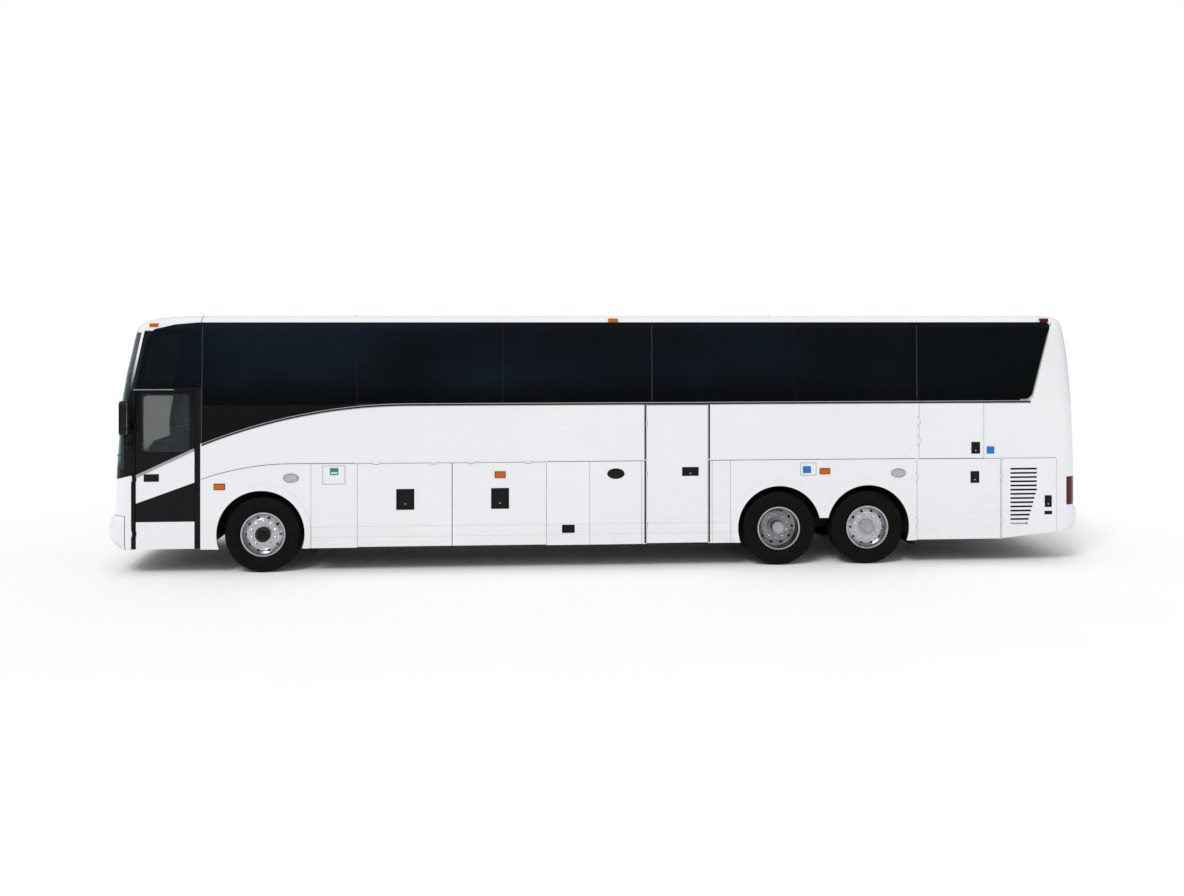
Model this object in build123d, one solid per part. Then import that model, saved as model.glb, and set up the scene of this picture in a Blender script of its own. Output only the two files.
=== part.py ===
from build123d import *
from collections import namedtuple
import math
import os

os.makedirs("parts", exist_ok=True)

# Driving dimensions, in millimetres. The front of the coach faces -X, the entry door is on -Y
# and the origin is on the ground below the middle of the coach.
coach_length = 13800
wall = 50
seam = 10
seat_gap = 0.3
glass = 8
front_bow = 8000
front_corner = 250
rear_corner = 240

half_length = coach_length / 2

# How the outer skin runs from the skirt to the roof. The sets are how far the front and the rear
# lie behind the foremost and the rearmost points, and facing_up is the share of a wall's
# thickness that is taken downwards instead of inwards.
Level = namedtuple("Level", "height front_set rear_set half_width facing_up")
skirt_height = 334
waist_height = 2310
cant_height = 3360
half_width = 1295
cant_half_width = 1262


def leaned_half_width(height):
    lean = (half_width - cant_half_width) / (cant_height - waist_height)
    return half_width - lean * (height - waist_height)


levels = [
    Level(skirt_height, 150, 150, half_width, 0),
    Level(434, 28, 95, half_width, 0),
    Level(490, 12, 35, half_width, 0),
    Level(560, 0, 8, half_width, 0),
    Level(640, 0, 0, half_width, 0),
    Level(738, 28, 6, half_width, 0),
    Level(800, 85, 44, half_width, 0),
    Level(1250, 100, 44, half_width, 0),
    Level(1500, 110, 44, half_width, 0),
    Level(1900, 140, 60, half_width, 0),
    Level(waist_height, 165, 76, half_width, 0),
    Level(2770, 245, 116, leaned_half_width(2770), 0),
    Level(3030, 307, 148, leaned_half_width(3030), 0),
    Level(3240, 351, 180, leaned_half_width(3240), 0),
    Level(cant_height, 386, 205, cant_half_width, 0),
    Level(3440, 470, 235, 1245, 0.3),
    Level(3490, 640, 275, 1205, 0.7),
    Level(3518, 900, 340, 1150, 0.9),
    Level(3530, 1250, 480, 1080, 1),
]

# Heights and stations read along the side of the coach.
crease_height = 1494
belt_height = 2322
belt_sweep_start = -2720
belt_sweep_end = -5530
belt_sweep_drop = 538
belt_tall = 28
belt_proud = 7
crease_sweep_start = -4328
crease_sweep_end = -5530
crease_sweep_drop = 201
crease_rail_gap = 9
crease_rail_tall = 14
crease_rail_proud = 5
glass_top = 3438
cant_seam = 3446
cap_seam = -5540
tail_seam = 6530
pane_gap = 8
window_border = 60
pane_joints = [-5523, -3427, -1417, 669, 2705, 4471]
pane_rear_top = 6450
pane_rear_bottom = 6150
pane_corner = 60

# Wheels.
tyre_radius = 522
tyre_width = 312
rim_radius = 292
hub_height = 522
front_wheel = -4710
drive_wheel = 2481
tag_wheel = 3760
wheel_track = 1115
twin_spacing = 345
king_pin = 880
arch_radius = 592
arch_height = 535
front_arch = front_wheel - 22
front_arch_radius = arch_radius + 4
arch_flare = 88
flare_proud = 10
bridge_height = 670

# Doors.
entry_front = -6404
entry_rear = -5623
entry_bottom = 348
entry_top = 2515
entry_seal_front = 64
entry_seal_rear = 80
luggage_front = -3425
luggage_split = -2120
luggage_rear = -811
lift_front = 590
lift_rear = 1462
lift_top = 2281
service_front = 4468
service_rear = 5710
hatch_front = 4498
hatch_rear = 5450
hatch_top = 2289
louvre_rear = 6519
rear_post = 16
tail_rise = 118
engine_door_half = 880
engine_door_bottom = 815
engine_door_top = 1480

# Floors and the space under them.
floor_top = 1500
floor_thick = 60
platform_top = 1000
platform_thick = 40
platform_rear = -5150
bay_floor_top = 440
bay_floor_thick = 40
bay_front = -4000
bay_rear = 1800
bulkhead = 40
rail_half_gap = 420
rail_width = 90
rail_height = 170
rail_bottom = 760


def block(x0, x1, y0, y1, z0, z1):
    centre = Pos((x0 + x1) / 2, (y0 + y1) / 2, (z0 + z1) / 2)
    return centre * Box(x1 - x0, y1 - y0, z1 - z0)


def outline(points, corner=0):
    face = make_face(Polyline(*points, close=True))
    if corner:
        face = fillet(face.vertices(), corner)
    return face


def across(sketch, y0, y1):
    """The sketch is drawn in side view, X and height."""
    return extrude(Plane.XZ.offset(-y1) * sketch, amount=y1 - y0)


def along(sketch, x0, x1):
    """The sketch is drawn in end view, Y and height."""
    return extrude(Plane.YZ.offset(x0) * sketch, amount=x1 - x0)


def rod(start, end, radius):
    axis = Vector(end) - Vector(start)
    plane = Plane(origin=start, z_dir=axis)
    return extrude(plane * Circle(radius), amount=axis.length)


def plan_face(level, inset, drop):
    height = level.height - inset * level.facing_up - drop
    side = inset * (1 - level.facing_up)
    half = level.half_width - side
    nose = -half_length + level.front_set + side
    tail = half_length - level.rear_set - side
    nose_corner = front_corner - inset
    tail_corner = rear_corner - inset
    bow_centre = nose + front_bow
    corner_y = half - nose_corner
    corner_x = bow_centre - math.sqrt((front_bow - nose_corner) ** 2 - corner_y ** 2)
    turn = math.asin(corner_y / (front_bow - nose_corner))
    bow_x = bow_centre - front_bow * math.cos(turn)
    bow_y = front_bow * math.sin(turn)
    mid_turn = (turn + math.pi / 2) / 2
    mid_x = corner_x - nose_corner * math.cos(mid_turn)
    mid_y = corner_y + nose_corner * math.sin(mid_turn)
    diagonal = tail_corner * (1 - math.sqrt(0.5))
    edges = []
    edges.append(ThreePointArc((bow_x, -bow_y, height), (nose, 0, height), (bow_x, bow_y, height)))
    edges.append(ThreePointArc((bow_x, bow_y, height), (mid_x, mid_y, height), (corner_x, half, height)))
    edges.append(Line((corner_x, half, height), (tail - tail_corner, half, height)))
    edges.append(ThreePointArc(
        (tail - tail_corner, half, height),
        (tail - diagonal, half - diagonal, height),
        (tail, half - tail_corner, height)))
    edges.append(Line((tail, half - tail_corner, height), (tail, tail_corner - half, height)))
    edges.append(ThreePointArc(
        (tail, tail_corner - half, height),
        (tail - diagonal, diagonal - half, height),
        (tail - tail_corner, -half, height)))
    edges.append(Line((tail - tail_corner, -half, height), (corner_x, -half, height)))
    edges.append(ThreePointArc(
        (corner_x, -half, height), (mid_x, -mid_y, height), (bow_x, -bow_y, height)))
    return Face(Wire(edges))


body_forms = {}


def body_form(inset):
    """The whole body as one closed form, inset from the outer skin."""
    if inset not in body_forms:
        drop = 40 if inset else 0
        faces = [plan_face(level, inset, 0) for level in levels]
        faces[0] = plan_face(levels[0], inset, drop)
        body_forms[inset] = loft(faces, ruled=True)
    return body_forms[inset]


skins = {}


def layer(outer, inner):
    """The body's skin between two insets; a negative inset stands outside the outer skin."""
    if (outer, inner) not in skins:
        skins[outer, inner] = body_form(outer) - body_form(inner)
    return skins[outer, inner]


def sweep_height(x, start, end, drop, level_height):
    """Height of a side line that is level behind start and falls forward in one arc."""
    if x >= start:
        return level_height
    run = start - end
    radius = (run ** 2 + drop ** 2) / (2 * drop)
    return level_height - radius + math.sqrt(radius ** 2 - (start - x) ** 2)


def belt_at(x):
    return sweep_height(x, belt_sweep_start, belt_sweep_end, belt_sweep_drop, belt_height)


def crease_at(x):
    return sweep_height(x, crease_sweep_start, crease_sweep_end, crease_sweep_drop, crease_height)


shell = layer(0, wall)
reach = half_length + 200
low = -100
high = 4000
sides = {"left": -1, "right": 1}


side_skins = {}


def side_layer(outer, inner, side):
    """One side's half of a skin."""
    if (outer, inner, side) not in side_skins:
        y0, y1 = side_span(side, 0, reach)
        side_skins[outer, inner, side] = layer(outer, inner) & block(-reach, reach, y0, y1, low, high)
    return side_skins[outer, inner, side]


def side_span(side, inner, outer):
    """Two Y values on one side of the coach, in rising order."""
    if side == "left":
        return -outer, -inner
    return inner, outer


half_shell = {side: side_layer(0, wall, side) for side in sides}
tail_rise_start = 5650
tail_cut = across(outline([
    (tail_rise_start, low),
    (tail_rise_start, skirt_height),
    (louvre_rear, skirt_height + tail_rise - 22),
    (reach, skirt_height + tail_rise + 20),
    (reach, low)]), -reach, reach)

# Seam between the front mask, the roof and the side walls, seen from the side.
nose_seam = entry_front - entry_seal_front
entry_edge = nose_seam
entry_head = entry_top + 13
pillar_foot = -6448
pillar_head = -6290
brow_low = 3250
brow_points = [(pillar_head, brow_low), (-6160, 3352), (-5890, 3415), (cap_seam, cant_seam)]
mask_outline = [(-reach, skirt_height - 10), (nose_seam, skirt_height - 10), (nose_seam, entry_head),
                (pillar_foot, entry_head + 40)] + brow_points + [(cap_seam, high), (-reach, high)]
wall_outline = [(nose_seam, skirt_height - 10), (nose_seam, entry_head), (pillar_foot, entry_head + 40)]
wall_outline = wall_outline + brow_points + [(tail_seam, cant_seam), (tail_seam, skirt_height - 10)]

# Side glass.


def front_pane(inset):
    x0 = pane_joints[0] + pane_gap / 2 + inset
    x1 = pane_joints[1] - pane_gap / 2 - inset
    xm = (x0 + x1) / 2
    lines = [
        Line((x0, belt_at(x0) + inset), (x0, glass_top - inset)),
        Line((x0, glass_top - inset), (x1, glass_top - inset)),
        Line((x1, glass_top - inset), (x1, belt_at(x1) + inset)),
        ThreePointArc((x1, belt_at(x1) + inset), (xm, belt_at(xm) + inset), (x0, belt_at(x0) + inset))]
    return make_face(lines)


def middle_pane(number, inset):
    x0 = pane_joints[number] + pane_gap / 2 + inset
    x1 = pane_joints[number + 1] - pane_gap / 2 - inset
    z0 = belt_height + inset
    z1 = glass_top - inset
    return outline([(x0, z0), (x1, z0), (x1, z1), (x0, z1)])


def rear_pane(inset):
    x0 = pane_joints[-1] + pane_gap / 2 + inset
    z0 = belt_height + inset
    z1 = glass_top - inset
    slope = (pane_rear_top - pane_rear_bottom) / (glass_top - belt_height)
    x_low = pane_rear_bottom - inset + slope * inset
    x_high = pane_rear_top - inset - slope * inset
    face = outline([(x0, z0), (x_low, z0), (x_high, z1), (x0, z1)])
    return fillet(face.vertices().sort_by(Axis.X)[-2:], pane_corner)


def brow_pane(inset):
    x1 = pane_joints[0] - pane_gap / 2 - inset
    z0 = entry_top + 25 + inset
    return outline([
        (x1, z0), (x1, glass_top - inset), (-5890, 3405 - inset), (-6155, 3340 - inset),
        (-6266 + inset, 3235 - inset), (-6412 + inset, z0)])


def driver_pane(inset):
    x1 = pane_joints[0] - pane_gap / 2 - inset
    z0 = 1800 + inset
    return outline([
        (x1, z0), (x1, glass_top - inset), (-5890, 3405 - inset), (-6155, 3340 - inset),
        (-6262 + inset, 3235 - inset), (-6420 + inset, 2350), (-6420 + inset, z0)])


def panes(side, inset):
    first = brow_pane(inset) if side == "left" else driver_pane(inset)
    found = [first, front_pane(inset)]
    for number in range(1, len(pane_joints) - 1):
        found.append(middle_pane(number, inset))
    found.append(rear_pane(inset))
    return found


def fused(shapes):
    return shapes[0] + shapes[1:]


# The doors in the sides, each a piece of the wall with a seam all round.
Door = namedtuple("Door", "name side front rear bottom top hinge")
doors = [
    Door("luggage_door_left_1", "left", luggage_front, luggage_split, 344, crease_height, "top"),
    Door("luggage_door_left_2", "left", luggage_split, luggage_rear, 344, crease_height, "top"),
    Door("lift_door", "left", lift_front, lift_rear, 344, lift_top, "front"),
    Door("service_door_left", "left", service_front, service_rear - rear_post, 344, crease_height, "front"),
    Door("hatch_door_left", "left", hatch_front, hatch_rear, crease_height, hatch_top, "front"),
    Door("louvre_door_left", "left", service_rear, louvre_rear, 344, crease_height, "front"),
    Door("luggage_door_right_1", "right", luggage_front, luggage_split, 344, crease_height, "top"),
    Door("luggage_door_right_2", "right", luggage_split, luggage_rear, 344, crease_height, "top"),
    Door("louvre_door_right", "right", service_rear, louvre_rear, 344, crease_height, "front"),
]


def door_opening(door):
    """The hole in the wall, out to the middle of the seams."""
    y0, y1 = side_span(door.side, half_width - wall - 60, half_width + 60)
    bottom = door.bottom if door.bottom > crease_height - 1 else low
    return block(door.front, door.rear, y0, y1, bottom, door.top)


hinge_radius = 5
hinge_bore = 5.08
knuckle_radius = 9
knuckle_length = 70


def hinge_line(door):
    """Axis of the door's hinge on the outer skin, as its two end points."""
    y = sides[door.side] * half_width
    if door.hinge == "top":
        z = door.top - seam / 2
        return (door.front + 120, y, z), (door.rear - 120, y, z)
    x = door.front + seam / 2
    return (x, y, door.bottom + 120), (x, y, door.top - 120)


def stations(door):
    """Where the hinge's knuckles stand along its axis."""
    start, end = hinge_line(door)
    span = (Vector(end) - Vector(start)).length
    count = 3 if span > 1400 else 2
    reach_in = knuckle_length * 2
    step = (span - 2 * reach_in) / (count - 1)
    return [reach_in + step * number for number in range(count)]


def on_axis(start, end, first, last, radius):
    direction = (Vector(end) - Vector(start)).normalized()
    return rod(Vector(start) + direction * first, Vector(start) + direction * last, radius)


def hinge_parts(start, end, spots):
    """Solids for one hinge: fixed knuckles, moving knuckles with their pins, and the room each needs."""
    half = knuckle_length / 2
    fixed = []
    moving = []
    fixed_room = []
    moving_room = []
    room = knuckle_radius + 5
    for spot in spots:
        eye = on_axis(start, end, spot - half, spot + half, knuckle_radius)
        fixed.append(eye - on_axis(start, end, spot - half - 1, spot + half + 1, hinge_bore))
        moving.append(on_axis(start, end, spot - half - 35, spot - half - 1, knuckle_radius))
        moving.append(on_axis(start, end, spot + half + 1, spot + half + 35, knuckle_radius))
        moving.append(on_axis(start, end, spot - half - 10, spot + half + 10, hinge_radius))
        fixed_room.append(on_axis(start, end, spot - half - 1, spot + half + 1, room))
        moving_room.append(on_axis(start, end, spot - half - 40, spot - half, room))
        moving_room.append(on_axis(start, end, spot + half, spot + half + 40, room))
    return fused(fixed), fused(moving), fused(fixed_room), fused(moving_room)


def cut_all(shape, tools):
    return shape - tools


def arch_tools(side):
    y0, y1 = side_span(side, half_width - wall - 300, half_width + 100)
    front = across(Pos(front_arch, arch_height) * Circle(front_arch_radius), y0, y1)
    drive = across(Pos(drive_wheel, arch_height) * Circle(arch_radius), y0, y1)
    tag = across(Pos(tag_wheel, arch_height) * Circle(arch_radius), y0, y1)
    bridge = block(drive_wheel, tag_wheel, y0, y1, low, bridge_height)
    under_front = block(front_wheel - 570, front_wheel + 520, y0, y1, low, arch_height - 140)
    under_rear = block(drive_wheel - 550, tag_wheel + 550, y0, y1, low, arch_height - 140)
    return [front, drive, tag, bridge, under_front, under_rear]


def arch_flares(side):
    outer = arch_radius + arch_flare
    y0, y1 = side_span(side, half_width - wall, half_width + flare_proud)
    front = across(Pos(front_arch, arch_height) * Circle(outer), y0, y1)
    rear = across(Pos(drive_wheel, arch_height) * Circle(outer), y0, y1)
    rear = rear + across(Pos(tag_wheel, arch_height) * Circle(outer), y0, y1)
    front_box = block(front_wheel - 800, luggage_front - seam, y0, y1, skirt_height, crease_height)
    rear_box = block(drive_wheel - outer, service_front - seam / 2, y0, y1, skirt_height, crease_height)
    return [front & front_box & block(entry_rear + 90, 0, y0, y1, low, high), rear & rear_box]


groove = 4
groove_deep = 6
seam_stations = {"left": [-4052, -208, 522, 1522, 1781], "right": [-5540, -4052, -208, 522, 1522]}


def grooves(side):
    """Shallow seams between fixed panels below the crease, and along the crease."""
    y0, y1 = side_span(side, half_width - groove_deep, half_width + 20)
    cuts = []
    for x in seam_stations[side]:
        cuts.append(block(x - groove / 2, x + groove / 2, y0, y1, low, crease_height))
    return cuts


def swept_band(height_at, x0, bend, x1, top, tall):
    """A band in side view that is level behind bend and follows height_at forward of it."""
    middle = (x0 + bend) / 2
    upper = [ThreePointArc((x0, height_at(x0) + top), (middle, height_at(middle) + top),
                           (bend, height_at(bend) + top)),
             Line((bend, height_at(bend) + top), (x1, height_at(x1) + top))]
    low_side = top - tall
    lower = [Line((x1, height_at(x1) + low_side), (bend, height_at(bend) + low_side)),
             ThreePointArc((bend, height_at(bend) + low_side), (middle, height_at(middle) + low_side),
                           (x0, height_at(x0) + low_side))]
    ends = [Line((x1, height_at(x1) + top), (x1, height_at(x1) + low_side)),
            Line((x0, height_at(x0) + low_side), (x0, height_at(x0) + top))]
    return make_face(upper + ends[:1] + lower + ends[1:])


def side_mouldings(side):
    """The moulding under the glass and the rail over the doors, both proud of the wall."""
    front = entry_rear + entry_seal_rear + seam / 2
    belt = swept_band(belt_at, front, belt_sweep_start, pane_rear_bottom, -pane_gap / 2, belt_tall)
    y0, y1 = side_span(side, half_width - groove_deep, half_width + belt_proud)
    rail = swept_band(crease_at, front, crease_sweep_start, louvre_rear, crease_rail_gap + crease_rail_tall,
                      crease_rail_tall)
    rail_y0, rail_y1 = side_span(side, half_width - groove_deep, half_width + crease_rail_proud)
    rail = across(rail, rail_y0, rail_y1)
    if side == "left":
        for door_front, door_rear in [(lift_front, lift_rear), (hatch_front, hatch_rear)]:
            rail = rail - block(door_front - seam, door_rear + seam, rail_y0, rail_y1, low, high)
    return [across(belt, y0, y1), rail]


def side_wall(side):
    y0, y1 = side_span(side, 900, half_width + 60)
    body = half_shell[side] & across(outline(wall_outline), y0, y1)
    openings = [door_opening(door) for door in doors if door.side == side]
    body = cut_all(body, openings + [tail_cut]) + arch_flares(side)
    body = body + side_mouldings(side)
    body = cut_all(body, arch_tools(side) + grooves(side))
    rebate = side_layer(-20, glass + seat_gap, side)
    cuts = list((rebate & across(Sketch() + panes(side, -pane_gap / 2 - 0.1), y0, y1)).solids())
    cuts = cuts + [across(pane, y0, y1) for pane in panes(side, window_border)]
    if side == "left":
        cuts.append(block(entry_edge - 1, entry_rear + entry_seal_rear, y0, y1, low, entry_head))
    return cut_all(body, cuts)


def side_glass(side):
    y0, y1 = side_span(side, 900, half_width + 60)
    return side_layer(0, glass, side) & across(Sketch() + panes(side, 0), y0, y1)


def door_leaf(door):
    y0, y1 = side_span(door.side, half_width - wall - 60, half_width + 60)
    bottom = door.bottom if door.bottom < crease_height - 1 else door.bottom + seam / 2
    gap = seam / 2
    shape = block(door.front + gap, door.rear - gap, y0, y1, bottom, door.top - gap)
    leaf = half_shell[door.side] & shape
    if door.rear > tail_rise_start:
        leaf = leaf - tail_cut.moved(Location((0, 0, 6)))
    return leaf


# Handles and slots on the doors: station, height, width and height of each recess.
Latch = namedtuple("Latch", "door x z wide tall")
latches = [
    Latch("luggage_door_left_1", -2765, 992, 250, 290),
    Latch("luggage_door_left_2", -1457, 992, 250, 290),
    Latch("luggage_door_right_1", -2765, 992, 250, 290),
    Latch("luggage_door_right_2", -1457, 992, 250, 290),
    Latch("lift_door", 1212, 1343, 236, 126),
    Latch("hatch_door_left", 5328, 1645, 130, 170),
    Latch("service_door_left", 5316, 1227, 130, 170),
    Latch("louvre_door_left", 6397, 870, 106, 170),
    Latch("louvre_door_right", 6397, 870, 106, 170),
]
latch_deep = 22
slot_count = 14
slot_pitch = 60
slot_top = 1352
slot_tall = 26
slot_front = 5838
slot_rear = 6228
slot_rear_low = 6090
slot_taper_from = 5


def add_latch(leaf, latch, side):
    y0, y1 = side_span(side, half_width - latch_deep, half_width + 30)
    half_x = latch.wide / 2
    half_z = latch.tall / 2
    pocket = block(latch.x - half_x, latch.x + half_x, y0, y1, latch.z - half_z, latch.z + half_z)
    y0, y1 = side_span(side, half_width - latch_deep - 1, half_width - 4)
    paddle = block(latch.x - half_x + 18, latch.x + half_x - 18, y0, y1, latch.z, latch.z + half_z - 16)
    return leaf - pocket + paddle


def louvre_slots(side):
    """Slots that go right through; the lower ones end further forward, beside the handle."""
    y0, y1 = side_span(side, half_width - wall - 60, half_width + 30)
    slots = []
    for number in range(slot_count):
        top = slot_top - slot_pitch * number
        share = max(0, number - slot_taper_from) / (slot_count - 1 - slot_taper_from)
        rear = slot_rear + (slot_rear_low - slot_rear) * share
        slots.append(block(slot_front, rear, y0, y1, top - slot_tall, top))
    return slots


nodes = {}
walls = {side: side_wall(side) for side in sides}
for door in doors:
    leaf = door_leaf(door)
    for latch in latches:
        if latch.door == door.name:
            leaf = add_latch(leaf, latch, door.side)
    if door.name.startswith("louvre"):
        leaf = cut_all(leaf, louvre_slots(door.side))
    start, end = hinge_line(door)
    fixed, moving, fixed_room, moving_room = hinge_parts(start, end, stations(door))
    nodes[door.name] = leaf - fixed_room + moving
    walls[door.side] = walls[door.side] - moving_room + fixed

# Entry door, hinged at its front edge, with a rubber strip down each side of the opening.
left_in, left_out = side_span("left", half_width - wall - 60, half_width + 60)
entry_x = entry_front - seam / 2
entry_y = -half_width + 2
entry_start = (entry_x, entry_y, entry_bottom + 60)
entry_end = (entry_x, entry_y, entry_top - 260)
entry_spots = [150, 900, 1600]
fixed, moving, fixed_room, moving_room = hinge_parts(entry_start, entry_end, entry_spots)
entry_panel = half_shell["left"] & block(entry_front, entry_rear, left_in, left_out, entry_bottom, entry_top)
entry_glass_low = 1672
entry_glass_points = [
    (entry_front + 67, entry_glass_low), (entry_rear - 60, entry_glass_low),
    (entry_rear - 60, entry_top - 50), (entry_front + 67, entry_top - 50)]


def entry_pane(inset):
    (x0, z0), (x1, _), (_, z1), _ = entry_glass_points
    points = [(x0 + inset, z0 + inset), (x1 - inset, z0 + inset),
              (x1 - inset, z1 - inset), (x0 + inset, z1 - inset)]
    return outline(points, 45)


entry_panel = entry_panel - across(entry_pane(22), left_in, left_out)
entry_rebate = side_layer(-20, glass + seat_gap, "left") & across(entry_pane(-1), left_in, left_out)
entry_panel = entry_panel - entry_rebate
handle_pocket = block(-6300, -6096, -half_width - 20, -half_width + 24, 1268, 1372)
entry_handle = block(-6282, -6114, -half_width + 3, -half_width + 25, 1306, 1332)
entry_panel = entry_panel - handle_pocket + entry_handle
nodes["entry_door"] = entry_panel - fixed_room + moving
nodes["entry_door_glass"] = side_layer(0, glass, "left") & across(entry_pane(0), left_in, left_out)
hinge_plates = []
for spot in entry_spots:
    z = entry_start[2] + spot
    hinge_plates.append(block(entry_edge - 8, entry_x, entry_y + 1, entry_y + 9,
                              z - knuckle_length / 2, z + knuckle_length / 2))
entry_bores = rod(entry_start, entry_end, hinge_bore)
entry_knuckles = [plate - entry_bores for plate in hinge_plates] + [fixed]
seal_skin = side_layer(0, wall, "left")
front_seal = seal_skin & block(entry_edge + seat_gap, entry_front - seam, left_in, left_out, entry_bottom, entry_top)
rear_seal = seal_skin & block(entry_rear + seam / 2, entry_rear + entry_seal_rear - seat_gap,
                              left_in, left_out, entry_bottom, entry_top)
plate_room = [block(entry_edge - 20, entry_x + 20, entry_y - 20, entry_y + 10,
                    entry_start[2] + spot - 78, entry_start[2] + spot + 78) for spot in entry_spots]
nodes["entry_door_seals"] = Compound([cut_all(front_seal, plate_room), rear_seal])
nodes["side_wall_left"] = walls["left"]
nodes["side_wall_right"] = walls["right"]
for side in sides:
    nodes[f"side_windows_{side}"] = side_glass(side)

# Front mask with the windscreen and headlamps, and the roof with its two hatches.
screen_low = 1440
screen_high = 3305
screen_edge = [(-6570, screen_low), (-6570, 1900), (-6478, 2660), (-6345, screen_high)]


def screen_outline(inset):
    points = [(x - inset, min(max(z, screen_low + inset), screen_high - inset)) for x, z in screen_edge]
    return outline([(-reach, screen_low + inset)] + points + [(-reach, screen_high - inset)])


bumper_top = 805
bumper_rear = -6550
lamp_low = 885
lamp_high = 1165
lamp_inner = 720
lamp_outer = 1120


def lamp_blocks(x0, x1, inner, outer, bottom, top, grow):
    return [block(x0, x1, y0, y1, bottom - grow, top + grow)
            for y0, y1 in ((-outer - grow, -inner + grow), (inner - grow, outer + grow))]


mask = shell & across(outline(mask_outline), -reach, reach)
mask = mask - across(screen_outline(window_border), -reach, reach)
mask = mask - (layer(-20, glass + seat_gap) & across(screen_outline(-0.5), -reach, reach))
mask = cut_all(mask, lamp_blocks(-reach, -6300, lamp_inner, lamp_outer, lamp_low, lamp_high, seat_gap))
bumper_front = shell & block(-reach, bumper_rear, -reach, reach, low, bumper_top - seat_gap)
mask = mask - block(-reach, bumper_rear + seat_gap, -reach, reach, low, bumper_top)
nodes["front_mask"] = mask + entry_knuckles
tow_y = -300
tow_z = 580
tow_front = -6520
tow_access = 70
intake_half = 240
intake_slots = [block(-reach, bumper_rear, -intake_half, intake_half, z, z + 22) for z in (506, 546, 586, 626)]
fog_y = 930
fog_z = 560
fog_radius = 72
fog_floor = -6812
fog_front = -6836
fog_pockets = [rod((-reach, sign * fog_y, fog_z), (fog_floor, sign * fog_y, fog_z), fog_radius)
               for sign in (-1, 1)]
fog_lamps = [rod((fog_front, sign * fog_y, fog_z), (fog_floor - seat_gap, sign * fog_y, fog_z), fog_radius - 4)
             for sign in (-1, 1)]
# The bumper is moulded in sections, and the narrow left one leaves the access hole before the tow socket.
strip_inner = abs(tow_y) - tow_access / 2
strip_outer = abs(tow_y) + tow_access / 2
bumper_sections = [
    (-reach, -strip_outer, low, bumper_top),
    (-strip_outer, -strip_inner, low, tow_z - tow_access / 2),
    (-strip_outer, -strip_inner, tow_z + tow_access / 2, bumper_top),
    (-strip_inner, strip_inner, low, bumper_top),
    (strip_inner, strip_outer, low, bumper_top),
    (strip_outer, reach, low, bumper_top),
]
bumper_front = cut_all(bumper_front, intake_slots + fog_pockets)
nodes["front_bumper"] = Compound([solid for section in bumper_sections for solid in
                                  (bumper_front & block(-reach, bumper_rear, *section)).solids()])
nodes["windscreen"] = layer(0, glass) & across(screen_outline(0), -reach, reach)
headlamps = [shell & shape for shape in lamp_blocks(
    -reach, -6300, lamp_inner, lamp_outer, lamp_low, lamp_high, 0)]

hatch_stations = {"roof_hatch_front": -3300, "roof_hatch_rear": 2900}
hatch_size = 620
roof = shell & across(outline([(cap_seam, cant_seam), (tail_seam, cant_seam),
                               (tail_seam, high), (cap_seam, high)]), -reach, reach)
roof_top = levels[-1].height
for name, x in hatch_stations.items():
    hole = hatch_size / 2
    roof = roof - block(x - hole, x + hole, -hole, hole, roof_top - wall - 20, high)
    inner = hole - seam
    lid = block(x - inner, x + inner, -inner, inner, roof_top - wall, roof_top)
    lid_start = (x - hole + seam / 2, -hole + 60, roof_top)
    lid_end = (x - hole + seam / 2, hole - 60, roof_top)
    fixed, moving, fixed_room, moving_room = hinge_parts(lid_start, lid_end, [110, 390])
    nodes[name] = lid - fixed_room + moving
    roof = roof - moving_room + fixed
nodes["roof"] = roof

# Rear mask with its window, lamps, bumper and engine door.
rear_form = shell & block(tail_seam, reach, -reach, reach, low, high)
rear_form = rear_form - tail_cut
tail_bumper_seam = 6660
tail_bumper_top = 800
bumper_zone = block(tail_bumper_seam, reach, -reach, reach, low, tail_bumper_top)
plate_recess = block(half_length - 12, reach, -270, 270, 590, 722)
rear_bumper = rear_form & block(tail_bumper_seam + seat_gap, reach, -reach, reach, low, tail_bumper_top - seat_gap)
nodes["rear_bumper"] = rear_bumper - plate_recess
rear_mask = rear_form - bumper_zone
rear_window = [(-980, 2420), (980, 2420), (900, 3240), (-900, 3240)]


def rear_pane_face(inset):
    (x0, z0), (x1, _), (x2, z1), (x3, _) = rear_window
    return outline([(x0 + inset, z0 + inset), (x1 - inset, z0 + inset),
                    (x2 - inset, z1 - inset), (x3 + inset, z1 - inset)], 70)


rear_zone = 6500
rear_mask = rear_mask - along(rear_pane_face(window_border), rear_zone, reach)
rear_mask = rear_mask - (layer(-20, glass + seat_gap) & along(rear_pane_face(-0.5), rear_zone, reach))
nodes["rear_window"] = layer(0, glass) & along(rear_pane_face(0), rear_zone, reach)
tail_lamp_low = 816
tail_lamp_high = 1222
tail_lamp_inner = 1010
tail_lamp_front = 6668
tail_blocks = lamp_blocks(tail_lamp_front, reach, tail_lamp_inner, reach, tail_lamp_low, tail_lamp_high, 0)
tail_pockets = lamp_blocks(tail_lamp_front - seat_gap, reach, tail_lamp_inner, reach,
                           tail_lamp_low, tail_lamp_high, seat_gap)
rear_mask = cut_all(rear_mask, tail_pockets)
engine_hole = block(rear_zone, reach, -engine_door_half - seam / 2, engine_door_half + seam / 2,
                    engine_door_bottom - seam / 2, engine_door_top + seam / 2)
engine_leaf = shell & block(rear_zone, reach, -engine_door_half + seam / 2, engine_door_half - seam / 2,
                            engine_door_bottom + seam / 2, engine_door_top - seam / 2)
rear_slots = [block(rear_zone, reach, -560, 560, 930 + 70 * number, 958 + 70 * number) for number in range(6)]
engine_leaf = cut_all(engine_leaf, rear_slots)
rear_face = half_length - levels[7].rear_set
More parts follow.
